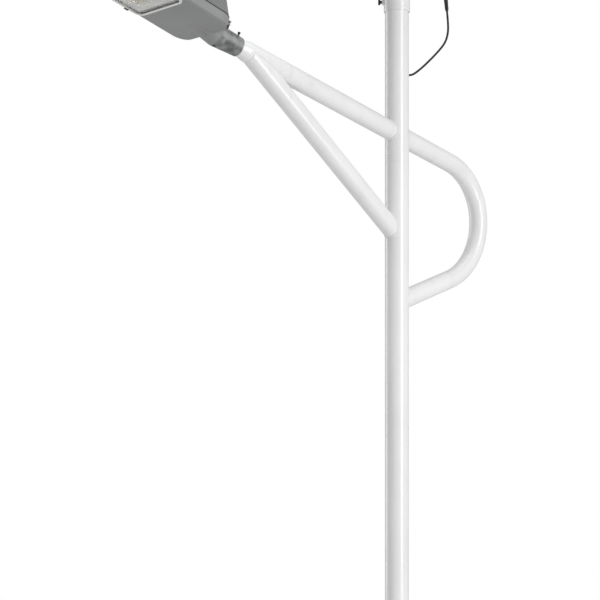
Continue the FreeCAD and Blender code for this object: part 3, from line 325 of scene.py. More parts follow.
# %% Weld the arm, the brace and the loop
POLE_RADIUS = (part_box("pole_tube")[1].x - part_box("pole_tube")[0].x) / 2
TUBE_RADIUS = (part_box("brace_tube")[1].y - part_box("brace_tube")[0].y) / 2
ARM_HEIGHT, ARM_TILT = 3.472, math.radians(17.2)
BRACE_HEIGHT, BRACE_TILT = 3.148, math.radians(40.7)
LOOP_FOOT = ARM_HEIGHT - 0.536
POLE_BEAD, BRACE_TOP_BEAD = 0.0028, 0.0014
UP = Vector((0, 0, 1))
arm_way = Vector((-math.cos(ARM_TILT), 0, math.sin(ARM_TILT)))
brace_way = Vector((-math.cos(BRACE_TILT), 0, math.sin(BRACE_TILT)))
loop_low_way = Vector((math.cos(ARM_TILT), 0, math.sin(ARM_TILT)))
pole_joints = (
    ("weld_arm", ARM_HEIGHT, arm_way),
    ("weld_brace", BRACE_HEIGHT, brace_way),
    ("weld_loop_top", ARM_HEIGHT, -arm_way),
    ("weld_loop_low", LOOP_FOOT, loop_low_way),
)
painted = []
for name, height, way in pole_joints:
    foot = Vector((0, 0, height))
    painted.append(
        saddle_bead(name, foot, way, TUBE_RADIUS, UP, POLE_RADIUS, POLE_BEAD, "pole")
    )

# %% Weld the brace's top to the underside of the arm
meet = (ARM_HEIGHT - BRACE_HEIGHT) / (math.tan(BRACE_TILT) - math.tan(ARM_TILT))
brace_top = Vector((-meet, 0, ARM_HEIGHT + meet * math.tan(ARM_TILT)))
painted.append(
    saddle_bead(
        "weld_brace_top",
        brace_top,
        -brace_way,
        TUBE_RADIUS,
        arm_way,
        TUBE_RADIUS,
        BRACE_TOP_BEAD,
        "pole",
    )
)


# %% [markdown]
# Round seams are the same ring without the saddle: the base tube on its plate, the two ends
# of the cone, and the sleeve of the panel's head, which has a rolled bead just above its rim.

# %% Flat rings for the seams
SEAM_SWELL = 0.1


def flat_ring(name, radius, height, bead, count, body):
    ring = spun_ring(radius, bead)
    if count:
        ripple(ring, radius, count, SEAM_SWELL)
    bmesh.ops.translate(ring, verts=ring.verts, vec=(0, 0, height))
    return finish_piece(name, ring, body)


plate_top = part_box("base_plate")[1].z
cone_low, cone_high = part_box("reducing_cone")
base_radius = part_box("base_tube")[1].x
sleeve_low, sleeve_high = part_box("panel_sleeve")
sleeve_radius = sleeve_high.x
seams = (
    ("weld_base", base_radius + 0.001, plate_top + 0.001, 0.0045, 90, "pole"),
    ("weld_cone_low", base_radius - 0.0005, cone_low.z, 0.0018, 80, "pole"),
    ("weld_cone_top", POLE_RADIUS - 0.0003, cone_high.z, 0.0015, 60, "pole"),
    ("sleeve_bead", sleeve_radius - 0.0004, sleeve_low.z + 0.011, 0.0012, 0, "panel_base"),
    ("weld_yoke", sleeve_radius, sleeve_high.z, 0.0025, 50, "panel_base"),
)
for name, radius, height, bead, count, body in seams:
    painted.append(flat_ring(name, radius, height, bead, count, body))
print(len(painted), "beads")


# %% Straight beads along the gussets
RIPPLE_PITCH, GUSSET_HALF, GUSSET_BEAD = 0.004, 0.004, 0.003


def add_straight_bead(shape, start, end, bead):
    """Add a rippled round bar between two points to a bmesh."""
    way = end - start
    rows = round(way.length / RIPPLE_PITCH)
    bar = bmesh.new()
    bmesh.ops.create_cone(
        bar, cap_ends=True, segments=8, radius1=bead, radius2=bead, depth=way.length
    )
    sides = [edge for edge in bar.edges if abs(edge.verts[0].co.z - edge.verts[1].co.z) > 0.001]
    bmesh.ops.subdivide_edges(bar, edges=sides, cuts=rows)
    for vertex in bar.verts:
        row = round((vertex.co.z / way.length + 0.5) * (rows + 1))
        vertex.co.xy *= (1.12, 0.88)[row % 2]
    place = Matrix.Translation((start + end) / 2) @ turn_to(way)
    bmesh.ops.transform(bar, matrix=place, verts=bar.verts)
    carrier = bpy.data.meshes.new("bar")
    bar.to_mesh(carrier)
    bar.free()
    shape.from_mesh(carrier)
    bpy.data.meshes.remove(carrier)


gusset_low, gusset_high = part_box("base_gussets")
beads = bmesh.new()
for quarter in range(4):
    spin = Matrix.Rotation(math.radians(90 * quarter), 3, "Z")
    for side in (-1, 1):
        y = side * GUSSET_HALF
        inner = Vector((base_radius, y, gusset_low.z))
        outer = Vector((gusset_high.x, y, gusset_low.z))
        top = Vector((base_radius, y, gusset_high.z))
        add_straight_bead(beads, spin @ inner, spin @ outer, GUSSET_BEAD)
        add_straight_bead(beads, spin @ inner, spin @ top, GUSSET_BEAD)
painted.append(finish_piece("weld_gussets", beads, "pole"))
print("gusset beads have", len(painted[-1].data.polygons), "faces")

# %% [markdown]
# ## The pleated reflector
# Behind the glass a cream plastic reflector slopes from the LED board down to the glass. Its
# walls are pressed into narrow pleats that scatter the light. A rectangle is subdivided along
# its sides, its rim is extruded down and widened, and every second column is drawn inwards.
# A last extrusion turns outwards and makes the flat flange that lies behind the glass.

# %% Extrude the reflector from the board's outline
board_low, board_high = local_box("led_board", LAMP)
mirror_low, mirror_high = local_box("reflector", LAMP)
PLEAT, WALL_STEPS, FLANGE = 0.003, 4, 0.0295
SHEET, COLUMNS, ROWS = 0.0006, 30, 12
FLANGE_MARK = 2.0
half_length = (board_high.x - board_low.x) / 2 + 0.001
half_width = (board_high.y - board_low.y) / 2 + 0.001
middle_along = (board_high.x + board_low.x) / 2
wide_length = (mirror_high.x - mirror_low.x) / 2 - 0.0005
wide_width = (mirror_high.y - mirror_low.y) / 2 - 0.0005
foot_length, foot_width = wide_length - FLANGE, wide_width - FLANGE
trough = bmesh.new()
bmesh.ops.create_grid(trough, x_segments=COLUMNS, y_segments=ROWS, size=1.0)
inner_faces = trough.faces[:]
edges = [edge for edge in trough.edges if edge.is_boundary]
heights = [step / WALL_STEPS for step in range(1, WALL_STEPS + 1)] + [FLANGE_MARK]
for height in heights:
    pushed = bmesh.ops.extrude_edge_only(trough, edges=edges)["geom"]
    edges = [part for part in pushed if isinstance(part, bmesh.types.BMEdge)]
    for part in pushed:
        if isinstance(part, bmesh.types.BMVert):
            part.co.z = height
bmesh.ops.delete(trough, geom=inner_faces, context="FACES")
for vertex in trough.verts:
    drop = min(vertex.co.z, 1.0)
    odd = (round(vertex.co.x * COLUMNS / 2) + round(vertex.co.y * ROWS / 2)) % 2
    draw_in = PLEAT * odd * math.sin(math.pi * min(drop, 0.9))
    spread = Vector((
        half_length + (foot_length - half_length) * drop - draw_in,
        half_width + (foot_width - half_width) * drop - draw_in,
    ))
    if vertex.co.z == FLANGE_MARK:
        spread = Vector((wide_length, wide_width))
    across = Vector((vertex.co.x * spread.x, vertex.co.y * spread.y))
    depth = mirror_high.z + (mirror_low.z + SHEET - mirror_high.z) * drop
    vertex.co = Vector((middle_along + across.x, across.y, depth))
bmesh.ops.transform(trough, matrix=LAMP, verts=trough.verts)
bmesh.ops.recalc_face_normals(trough, faces=trough.faces)
bmesh.ops.solidify(trough, geom=trough.faces[:], thickness=SHEET)
pleats = finish_piece("pleated_reflector", trough, "lamp", smooth=False)
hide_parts("reflector")
print("reflector has", len(pleats.data.polygons), "faces")

# %% [markdown]
# ## The LED lenses
# Every LED is a small yellow chip under a clear silicone dome. A quarter arc spun about the
# chip's axis makes the dome with few faces, which matters because there are 36 of them.

# %% Spin a dome over each LED chip
LED_COLUMNS, LED_ROWS = 9, 4
LENS_RADIUS, LENS_RINGS, LENS_STEPS = 0.0045, 4, 12
chips_low, chips_high = local_box("led_chips", LAMP)
chip_half = 0.0035
lenses = bmesh.new()
for column in range(LED_COLUMNS):
    for row in range(LED_ROWS):
        along = column / (LED_COLUMNS - 1)
        across = row / (LED_ROWS - 1)
        centre = Vector((
            chips_low.x + chip_half + along * (chips_high.x - chips_low.x - 2 * chip_half),
            chips_low.y + chip_half + across * (chips_high.y - chips_low.y - 2 * chip_half),
            chips_low.z,
        ))
        arc = []
        for ring in range(LENS_RINGS + 1):
            turn = math.radians(90 * ring / LENS_RINGS)
            reach = Vector((math.cos(turn), 0, -math.sin(turn))) * LENS_RADIUS
            arc.append(lenses.verts.new(centre + reach))
        profile = [lenses.edges.new(pair) for pair in zip(arc, arc[1:])]
        bmesh.ops.spin(
            lenses,
            geom=arc + profile,
            cent=centre,
            axis=(0, 0, 1),
            angle=math.tau,
            steps=LENS_STEPS,
            use_merge=True,
        )
bmesh.ops.remove_doubles(lenses, verts=lenses.verts, dist=0.00005)
bmesh.ops.transform(lenses, matrix=LAMP, verts=lenses.verts)
domes = finish_piece("led_lenses", lenses, "lamp")
print("LED lenses have", len(domes.data.polygons), "faces")

# %% [markdown]
# ## Materials: the shared effects
# Real finishes are never one flat colour, so three small node groups are made once and used
# again and again: one drifts between two shades, one gives a fine relief for the Bump node,
# and one lays grime in soft vertical streaks, as rain leaves it on outdoor paint.

# %% Helpers for node groups
COLOR, VALUE, VECTOR = "NodeSocketColor", "NodeSocketFloat", "NodeSocketVector"


def make_group(name, inputs, outputs):
    """An empty node group with named inputs and outputs, and its two end nodes."""
    tree = bpy.data.node_groups.new(name, "ShaderNodeTree")
    for title, kind in inputs:
        tree.interface.new_socket(title, in_out="INPUT", socket_type=kind)
    for title, kind in outputs:
        tree.interface.new_socket(title, in_out="OUTPUT", socket_type=kind)
    return tree, tree.nodes.new("NodeGroupInput"), tree.nodes.new("NodeGroupOutput")


def sum_up(tree, operation, first, second):
    """A Math node; first and second are sockets or numbers."""
    step = tree.nodes.new("ShaderNodeMath")
    step.operation = operation
    for socket, value in zip(step.inputs, (first, second)):
        if isinstance(value, bpy.types.NodeSocket):
            tree.links.new(value, socket)
        else:
            socket.default_value = value
    return step.outputs[0]


def mix_colors(tree, factor, first, second):
    """A colour Mix node; each argument is a socket or a value."""
    step = tree.nodes.new("ShaderNodeMix")
    step.data_type = "RGBA"
    sockets = (step.inputs["Factor"], step.inputs[6], step.inputs[7])
    for socket, value in zip(sockets, (factor, first, second)):
        if isinstance(value, bpy.types.NodeSocket):
            tree.links.new(value, socket)
        else:
            socket.default_value = value
    return step.outputs[2]


def soften(tree, value, low, high):
    """Stretch a value so that low becomes 0 and high becomes 1, without sharp ends."""
    step = tree.nodes.new("ShaderNodeMapRange")
    step.interpolation_type = "SMOOTHSTEP"
    tree.links.new(value, step.inputs["Value"])
    step.inputs["From Min"].default_value = low
    step.inputs["From Max"].default_value = high
    return step.outputs["Result"]


# %% The shade drift
drift, given, result = make_group(
    "shade_drift",
    (("Vector", VECTOR), ("Light Shade", COLOR), ("Dark Shade", COLOR), ("Scale", VALUE)),
    (("Color", COLOR), ("Mask", VALUE)),
)
clouds = drift.nodes.new("ShaderNodeTexNoise")
clouds.inputs["Detail"].default_value = 4
drift.links.new(given.outputs["Vector"], clouds.inputs["Vector"])
drift.links.new(given.outputs["Scale"], clouds.inputs["Scale"])
cloud_mask = soften(drift, clouds.outputs["Fac"], 0.32, 0.68)
shade = mix_colors(drift, cloud_mask, given.outputs["Dark Shade"], given.outputs["Light Shade"])
drift.links.new(shade, result.inputs["Color"])
drift.links.new(cloud_mask, result.inputs["Mask"])
print("made", drift.name)

# %% The fine relief
relief, given, result = make_group(
    "fine_relief",
    (("Vector", VECTOR), ("Scale", VALUE), ("Coarse Share", VALUE)),
    (("Height", VALUE),),
)
grains = []
for factor in (1.0, 0.23):
    grain = relief.nodes.new("ShaderNodeTexNoise")
    grain.inputs["Detail"].default_value = 2
    relief.links.new(given.outputs["Vector"], grain.inputs["Vector"])
    grain_scale = sum_up(relief, "MULTIPLY", given.outputs["Scale"], factor)
    relief.links.new(grain_scale, grain.inputs["Scale"])
    grains.append(grain.outputs["Fac"])
coarse = sum_up(relief, "MULTIPLY", grains[1], given.outputs["Coarse Share"])
relief.links.new(sum_up(relief, "ADD", grains[0], coarse), result.inputs["Height"])
print("made", relief.name)

# %% The rain streaks
streaks, given, result = make_group(
    "rain_streaks",
    (("Vector", VECTOR), ("Color", COLOR), ("Grime", COLOR), ("Amount", VALUE)),
    (("Color", COLOR), ("Mask", VALUE)),
)
stretch = streaks.nodes.new("ShaderNodeMapping")
stretch.inputs["Scale"].default_value = (38, 38, 1.6)
streaks.links.new(given.outputs["Vector"], stretch.inputs["Vector"])
runs = streaks.nodes.new("ShaderNodeTexNoise")
runs.inputs["Scale"].default_value = 1.0
runs.inputs["Detail"].default_value = 3
streaks.links.new(stretch.outputs["Vector"], runs.inputs["Vector"])
run_mask = soften(streaks, runs.outputs["Fac"], 0.5, 0.78)
run_mask = sum_up(streaks, "MULTIPLY", run_mask, given.outputs["Amount"])
streaked = mix_colors(streaks, run_mask, given.outputs["Color"], given.outputs["Grime"])
streaks.links.new(streaked, result.inputs["Color"])
streaks.links.new(run_mask, result.inputs["Mask"])
print("made", streaks.name)


# %% [markdown]
# ## Materials: how each one is put together
# A material holds its own Principled BSDF, with constants such as coat and IOR set on the
# shader's sockets. The helper below adds the drift, the streaks and the relief with that
# material's own values, all read from Object coordinates, so that nothing slides when the
# part moves.

# %% The material helper
def use_group(tree, group, **values):
    step = tree.nodes.new("ShaderNodeGroup")
    step.node_tree = group
    for title, value in values.items():
        socket = step.inputs[title.replace("_", " ")]
        if isinstance(value, bpy.types.NodeSocket):
            tree.links.new(value, socket)
        else:
            socket.default_value = value
    return step


def rgb(red, green, blue):
    return (red, green, blue, 1.0)


def start_material(name, **settings):
    """A material whose Principled BSDF has these constants; returns its parts."""
    material = bpy.data.materials.new(name)
    material.use_nodes = True
    tree = material.node_tree
    shader = tree.nodes["Principled BSDF"]
    for title, value in settings.items():
        shader.inputs[title.replace("_", " ")].default_value = value
    place = tree.nodes.new("ShaderNodeTexCoord").outputs["Object"]
    return material, tree, shader, place


def add_roughness(tree, shader, mask, low, high):
    """Roughness that moves between two values with a mask."""
    step = tree.nodes.new("ShaderNodeMapRange")
    tree.links.new(mask, step.inputs["Value"])
    step.inputs["To Min"].default_value = low
    step.inputs["To Max"].default_value = high
    tree.links.new(step.outputs["Result"], shader.inputs["Roughness"])


def add_bump(tree, shader, height, distance, strength=1.0):
    bump = tree.nodes.new("ShaderNodeBump")
    bump.inputs["Distance"].default_value = distance
    bump.inputs["Strength"].default_value = strength
    tree.links.new(height, bump.inputs["Height"])
    tree.links.new(bump.outputs["Normal"], shader.inputs["Normal"])


def plain_finish(name, light, dark, drift_scale, grain, depth, rough, grime=0.0, **settings):
    """A finish with drifting shades, optional rain streaks, fine relief and varied gloss."""
    material, tree, shader, place = start_material(name, **settings)
    shades = use_group(
        tree, drift, Vector=place, Scale=drift_scale,
        Light_Shade=rgb(*light), Dark_Shade=rgb(*dark),
    )
    color = shades.outputs["Color"]
    if grime:
        dirty = use_group(
            tree, streaks, Vector=place, Color=color, Grime=rgb(0.33, 0.31, 0.28), Amount=grime
        )
        color = dirty.outputs["Color"]
    tree.links.new(color, shader.inputs["Base Color"])
    texture = use_group(tree, relief, Vector=place, Scale=grain, Coarse_Share=0.8)
    add_bump(tree, shader, texture.outputs["Height"], depth)
    add_roughness(tree, shader, shades.outputs["Mask"], *rough)
    return material


# %% [markdown]
# ## Materials: paint, metal, rubber and plastic
# Powder coat is a baked plastic film: nearly white, a little glossy, with the faint dimples
# that painters call orange peel. Dip-zinc shows crystals of different greys. Rubber and
# moulded plastics are dark with a soft sheen and a fine grain.

# %% The plain finishes
finishes = {}
finishes["white_powder_coat"] = plain_finish(
    "white_powder_coat", (0.83, 0.83, 0.83), (0.79, 0.79, 0.795), 3.0,
    grain=420, depth=0.00006, rough=(0.26, 0.36), grime=0.10,
    Coat_Weight=0.35, Coat_Roughness=0.12,
)
finishes["black_rubber"] = plain_finish(
    "black_rubber", (0.013, 0.013, 0.013), (0.007, 0.007, 0.007), 60,
    grain=900, depth=0.00005, rough=(0.5, 0.68),
)
finishes["black_plastic"] = plain_finish(
    "black_plastic", (0.026, 0.026, 0.028), (0.016, 0.016, 0.017), 40,
    grain=1300, depth=0.00004, rough=(0.36, 0.5),
)
finishes["black_oxide"] = plain_finish(
    "black_oxide", (0.035, 0.035, 0.038), (0.018, 0.018, 0.02), 70,
    grain=700, depth=0.00003, rough=(0.34, 0.5), Metallic=0.6,
)
finishes["battery_wrap"] = plain_finish(
    "battery_wrap", (0.025, 0.10, 0.42), (0.018, 0.07, 0.33), 14,
    grain=90, depth=0.0003, rough=(0.22, 0.34), Coat_Weight=0.3, Coat_Roughness=0.15,
)
finishes["grey_case"] = plain_finish(
    "grey_case", (0.30, 0.31, 0.32), (0.25, 0.26, 0.27), 25,
    grain=1100, depth=0.00005, rough=(0.42, 0.55),
)
finishes["brass"] = plain_finish(
    "brass", (0.80, 0.58, 0.24), (0.62, 0.42, 0.15), 90,
    grain=600, depth=0.00003, rough=(0.2, 0.38), Metallic=1.0,
)
finishes["steel_strap"] = plain_finish(
    "steel_strap", (0.62, 0.62, 0.61), (0.5, 0.5, 0.5), 60,
    grain=500, depth=0.00003, rough=(0.25, 0.4), Metallic=1.0,
)
finishes["dark_frame"] = plain_finish(
    "dark_frame", (0.075, 0.077, 0.08), (0.05, 0.052, 0.055), 30,
    grain=800, depth=0.00005, rough=(0.4, 0.52), Metallic=0.3,
)
finishes["cream_reflector"] = plain_finish(
    "cream_reflector", (0.90, 0.87, 0.78), (0.86, 0.82, 0.72), 9,
    grain=500, depth=0.00003, rough=(0.2, 0.3), Coat_Weight=0.4, Coat_Roughness=0.08,
)
finishes["board_white"] = plain_finish(
    "board_white", (0.80, 0.80, 0.78), (0.75, 0.75, 0.73), 20,
    grain=900, depth=0.00002, rough=(0.35, 0.5),
)
finishes["led_phosphor"] = plain_finish(
    "led_phosphor", (0.86, 0.66, 0.10), (0.76, 0.54, 0.06), 300,
    grain=2500, depth=0.00002, rough=(0.4, 0.55),
)
finishes["white_sheet"] = plain_finish(
    "white_sheet", (0.80, 0.80, 0.80), (0.75, 0.75, 0.76), 12,
    grain=350, depth=0.00005, rough=(0.4, 0.5), grime=0.15,
)
print(len(finishes), "plain finishes")

# %% Dip-zinc with its crystals
zinc, tree, shader, place = start_material("dip_zinc", Metallic=0.85)
crystals = tree.nodes.new("ShaderNodeTexVoronoi")
crystals.inputs["Scale"].default_value = 160
tree.links.new(place, crystals.inputs["Vector"])
spread = tree.nodes.new("ShaderNodeSeparateColor")
tree.links.new(crystals.outputs["Color"], spread.inputs["Color"])
spangle = mix_colors(tree, spread.outputs["Red"], rgb(0.42, 0.43, 0.44), rgb(0.62, 0.63, 0.64))
tree.links.new(spangle, shader.inputs["Base Color"])
add_roughness(tree, shader, spread.outputs["Green"], 0.32, 0.5)
texture = use_group(tree, relief, Vector=place, Scale=600, Coarse_Share=0.6)
add_bump(tree, shader, texture.outputs["Height"], 0.00004)
finishes["dip_zinc"] = zinc
print("made", zinc.name)

# %% [markdown]
# ## The luminaire's casting
# The housing is die-cast aluminium under smooth grey paint, but its neck is rough: the paint
# is thin there and clouds of darker and lighter grey show. A Mapping node of the Texture kind
# turns world places into the luminaire's own frame, and the first coordinate there says how
# far a point is from the neck's mouth, so one mask keeps the mottling on the neck. A paler
# painted highlight streak runs along the middle of the neck's side. The cover is a separate
# casting; its grey is a little darker, a painted shade that evens out the stronger light on it.

# %% Grey casting with a rough neck and a painted highlight streak
def lean_map(tree, place, matrix):
    """Coordinates in a local frame, as three sockets."""
    step = tree.nodes.new("ShaderNodeMapping")
    step.vector_type = "TEXTURE"
    step.inputs["Location"].default_value = matrix.translation
    step.inputs["Rotation"].default_value = matrix.to_euler()
    tree.links.new(place, step.inputs["Vector"])
    parts = tree.nodes.new("ShaderNodeSeparateXYZ")
    tree.links.new(step.outputs["Vector"], parts.inputs["Vector"])
    return step.outputs["Vector"], parts.outputs


NECK_END = 0.087
casting, tree, shader, place = start_material("grey_casting", Coat_Weight=0.15, Coat_Roughness=0.3)
local, coordinate = lean_map(tree, place, LAMP)
paint = use_group(
    tree, drift, Vector=place, Scale=7.0,
    Light_Shade=rgb(0.262, 0.264, 0.266), Dark_Shade=rgb(0.242, 0.245, 0.247),
)
blotch = use_group(
    tree, drift, Vector=local, Scale=55.0,
    Light_Shade=rgb(0.235, 0.24, 0.24), Dark_Shade=rgb(0.09, 0.094, 0.094),
)
on_neck = soften(tree, sum_up(tree, "SUBTRACT", NECK_END, coordinate["X"]), 0.0, 0.012)
# A paler painted highlight streak along the middle of the neck's side, mixed over the mottling.
STREAK_DROP, STREAK_EDGE, STREAK_CORE = 0.003, 0.013, 0.003
from_middle = sum_up(tree, "ADD", coordinate["Z"], STREAK_DROP)
from_middle = sum_up(tree, "ABSOLUTE", from_middle, 0.0)
neck_painted_highlight = sum_up(tree, "MULTIPLY", soften(tree, from_middle, STREAK_EDGE, STREAK_CORE), 0.6)
neck_shade = mix_colors(tree, neck_painted_highlight, blotch.outputs["Color"], rgb(0.37, 0.375, 0.375))
shade = mix_colors(tree, on_neck, paint.outputs["Color"], neck_shade)
tree.links.new(shade, shader.inputs["Base Color"])
fine = use_group(tree, relief, Vector=place, Scale=520, Coarse_Share=0.5)
rough = use_group(tree, relief, Vector=place, Scale=150, Coarse_Share=1.6)
pits = sum_up(tree, "MULTIPLY", rough.outputs["Height"], on_neck)
skin = sum_up(tree, "MULTIPLY", fine.outputs["Height"], 0.12)
add_bump(tree, shader, sum_up(tree, "ADD", skin, pits), 0.0008)
add_roughness(tree, shader, on_neck, 0.42, 0.62)
finishes["grey_casting"] = casting
# The cover's darker grey is painted shade: it evens out the stronger light that falls on the
# cover.
finishes["cover_grey_painted_shade"] = plain_finish(
    "cover_grey_painted_shade", (0.195, 0.197, 0.199), (0.175, 0.177, 0.179), 7.0,
    grain=520, depth=0.00005, rough=(0.42, 0.5), Coat_Weight=0.15, Coat_Roughness=0.3,
)
print("made", casting.name, "and cover_grey_painted_shade")

# %% [markdown]
# ## Glass
# The luminaire's cover glass and the panel's glass are clear, with constants on the shader's
# own sockets. Pressed glass has a faint ripple, and solar glass a tiny pebble pattern that
# cuts glare. A low Alpha lets most of the light pass straight through, so that what lies
# behind the glass is lit well.

# %% Lamp glass, panel glass and LED silicone
def glass_finish(name, ior, rough, grain, depth, tint, body=1.0):
    """A clear finish; body below 1 lets that much less of the light bend and darken."""
    material, tree, shader, place = start_material(
        name, Transmission_Weight=1.0, IOR=ior, Roughness=rough, Alpha=body
    )
    texture = use_group(tree, relief, Vector=place, Scale=grain, Coarse_Share=1.0)
    shades = use_group(
        tree, drift, Vector=place, Scale=6.0,
        Light_Shade=rgb(*tint), Dark_Shade=rgb(*[0.97 * part for part in tint]),
    )
    tree.links.new(shades.outputs["Color"], shader.inputs["Base Color"])
    add_bump(tree, shader, texture.outputs["Height"], depth)
    return material


finishes["lamp_glass"] = glass_finish(
    "lamp_glass", 1.5, 0.06, 60, 0.0001, (0.97, 0.99, 0.97), body=0.22
)
finishes["panel_glass"] = glass_finish(
    "panel_glass", 1.45, 0.05, 700, 0.00003, (0.98, 0.99, 0.98), body=0.6
)
finishes["led_silicone"] = glass_finish(
    "led_silicone", 1.41, 0.03, 900, 0.00001, (0.99, 0.98, 0.95), body=0.8
)
print("made three clear finishes")

# %% [markdown]
# ## Extruded aluminium
# The panel's frame is extruded, so it carries fine lines along each bar, and anodising makes
# it satin. Stretched noise gives the lines. Two bars run down the slope and two across it, so
# the stretch direction is a choice of the material.

# %% Anodised bars and a brushed plate
def drawn_metal(name, matrix, stretch, light, dark, rough, **settings):
    material, tree, shader, place = start_material(name, **settings)
    local, coordinate = lean_map(tree, place, matrix)
    pull = tree.nodes.new("ShaderNodeMapping")
    pull.inputs["Scale"].default_value = stretch
    tree.links.new(local, pull.inputs["Vector"])
    lines = tree.nodes.new("ShaderNodeTexNoise")
    lines.inputs["Scale"].default_value = 1.0
    lines.inputs["Detail"].default_value = 3
    tree.links.new(pull.outputs["Vector"], lines.inputs["Vector"])
    shade = mix_colors(tree, lines.outputs["Fac"], rgb(*dark), rgb(*light))
    tree.links.new(shade, shader.inputs["Base Color"])
    add_roughness(tree, shader, lines.outputs["Fac"], *rough)
    add_bump(tree, shader, lines.outputs["Fac"], 0.00003)
    return material


SATIN_LIGHT, SATIN_DARK = (0.78, 0.79, 0.80), (0.62, 0.63, 0.64)
finishes["anodised_along"] = drawn_metal(
    "anodised_along", PANEL, (4, 900, 900), SATIN_LIGHT, SATIN_DARK, (0.3, 0.45), Metallic=1.0
)
finishes["anodised_across"] = drawn_metal(
    "anodised_across", PANEL, (900, 4, 900), SATIN_LIGHT, SATIN_DARK, (0.3, 0.45), Metallic=1.0
)
finishes["brushed_plate"] = drawn_metal(
    "brushed_plate", LAMP, (6, 700, 700), (0.74, 0.75, 0.76), (0.56, 0.57, 0.58), (0.25, 0.4),
    Metallic=1.0,
)
print("made three drawn metals")

# %% [markdown]
# ## Solar cells
# The panel holds a grid of dark blue cells, four across and nine along, with white gaps, cut
# corners, bright busbars along each cell and hair-thin fingers across it. All of it is
# arithmetic on the panel's own coordinates: a coordinate divided by the pitch, its fraction,
# and a comparison with the width of the gap or the line.

# %% The cell grid
CELLS_ALONG, CELLS_ACROSS, BUSBARS = 9, 4, 5
cells_low, cells_high = local_box("panel_cells", PANEL)
pitch_along = (cells_high.x - cells_low.x) / CELLS_ALONG
pitch_across = (cells_high.y - cells_low.y) / CELLS_ACROSS
cell_finish, tree, shader, place = start_material(
    "solar_cells", Coat_Weight=0.5, Coat_Roughness=0.1
)
local, coordinate = lean_map(tree, place, PANEL)


def cell_fraction(axis, low, pitch):
    """Where a point is inside its cell, from -0.5 to 0.5."""
    steps = sum_up(tree, "DIVIDE", sum_up(tree, "SUBTRACT", coordinate[axis], low), pitch)
    return sum_up(tree, "SUBTRACT", sum_up(tree, "FRACT", steps, 0.0), 0.5)


def outside(value, limit):
    return sum_up(tree, "GREATER_THAN", value, limit)


def either(first, second):
    return sum_up(tree, "MAXIMUM", first, second)


GAP, CUT = 0.0011, 0.012
in_along = sum_up(tree, "MULTIPLY", cell_fraction("X", cells_low.x, pitch_along), pitch_along)
in_across = sum_up(tree, "MULTIPLY", cell_fraction("Y", cells_low.y, pitch_across), pitch_across)
from_along = sum_up(tree, "ABSOLUTE", in_along, 0.0)
from_across = sum_up(tree, "ABSOLUTE", in_across, 0.0)
gap = either(
    outside(from_along, pitch_along / 2 - GAP), outside(from_across, pitch_across / 2 - GAP)
)
corner = outside(
    sum_up(tree, "ADD", from_along, from_across), (pitch_along + pitch_across) / 2 - GAP - CUT
)
white = either(gap, corner)
bar_pitch = pitch_across / BUSBARS
bar_place = sum_up(tree, "DIVIDE", in_across, bar_pitch)
bar_place = sum_up(tree, "FRACT", sum_up(tree, "ADD", bar_place, 10.0), 0.0)
bar_place = sum_up(tree, "SUBTRACT", bar_place, 0.5)
bar_off = sum_up(tree, "ABSOLUTE", bar_place, 0.0)
BUSBAR_HALF, FINGER_PITCH = 0.0006, 0.0018
busbar = outside(bar_off, 0.5 - BUSBAR_HALF / bar_pitch)
finger_place = sum_up(tree, "FRACT", sum_up(tree, "DIVIDE", coordinate["X"], FINGER_PITCH), 0.0)
finger = sum_up(tree, "MULTIPLY", outside(finger_place, 0.92), 0.25)
tone = use_group(
    tree, drift, Vector=local, Scale=5.0,
    Light_Shade=rgb(0.016, 0.030, 0.085), Dark_Shade=rgb(0.008, 0.014, 0.045),
)
color = mix_colors(tree, finger, tone.outputs["Color"], rgb(0.35, 0.37, 0.40))
color = mix_colors(tree, busbar, color, rgb(0.60, 0.61, 0.62))
color = mix_colors(tree, white, color, rgb(0.78, 0.78, 0.78))
tree.links.new(color, shader.inputs["Base Color"])
add_roughness(tree, shader, white, 0.25, 0.5)
add_bump(tree, shader, either(busbar, finger), 0.0001)
finishes["solar_cells"] = cell_finish
print("cells of", round(pitch_along * 1000), "by", round(pitch_across * 1000), "mm")

# %% [markdown]
# ## Giving every part its finish
# A CAD node keeps its shape and only has its material slot changed. The table below names
# the finish of each node, and the new pieces take theirs the same way.

# %% Assign the finishes
USES = {
    "white_powder_coat": (
        "base_plate base_gussets base_tube reducing_cone pole_tube door_cover door_hinge_tabs "
        "arm_tube brace_tube loop_tube panel_sleeve tilt_yoke tilt_head plate_brackets"
    ),
    "dip_zinc": (
        "equipment_plate bracket_screws tilt_pivot_bolt tilt_lock_bolts cradle_beam panel_rails "
        "rail_bolts frame_bolts"
    ),
    "black_oxide": "sleeve_bolts neck_set_screws",
    "grey_casting": "lamp_housing",
    "cover_grey_painted_shade": "lamp_cover",
    "black_rubber": "door_seal cable_grommet cable_splice panel_cable panel_leads cover_seal",
    "black_plastic": "cover_screw_near cover_screw_far junction_box junction_box_lid",
    "battery_wrap": "battery_pack",
    "grey_case": "charge_controller led_driver terminal_block",
    "brass": "battery_terminals",
    "steel_strap": "battery_straps door_hinge_pins door_lock_body door_lock_cam cover_hinge_pins",
    "anodised_along": "panel_frame_near panel_frame_far",
    "anodised_across": "panel_frame_low panel_frame_high",
    "panel_glass": "panel_glass",
    "solar_cells": "panel_cells",
    "white_sheet": "panel_backsheet",
    "lamp_glass": "lamp_glass",
    "cream_reflector": "reflector",
    "dark_frame": "glass_clips",
    "board_white": "led_board glass_frame",
    "led_phosphor": "led_chips",
    "brushed_plate": "led_heat_plate",
}


def coat(piece, finish):
    piece.data.materials.clear()
    piece.data.materials.append(finishes[finish])


for finish, names in USES.items():
    for name in names.split():
        coat(nodes[name], finish)
for piece in painted:
    coat(piece, "white_powder_coat")
for piece in (cable, *leads):
    coat(piece, "black_rubber")
coat(pleats, "cream_reflector")
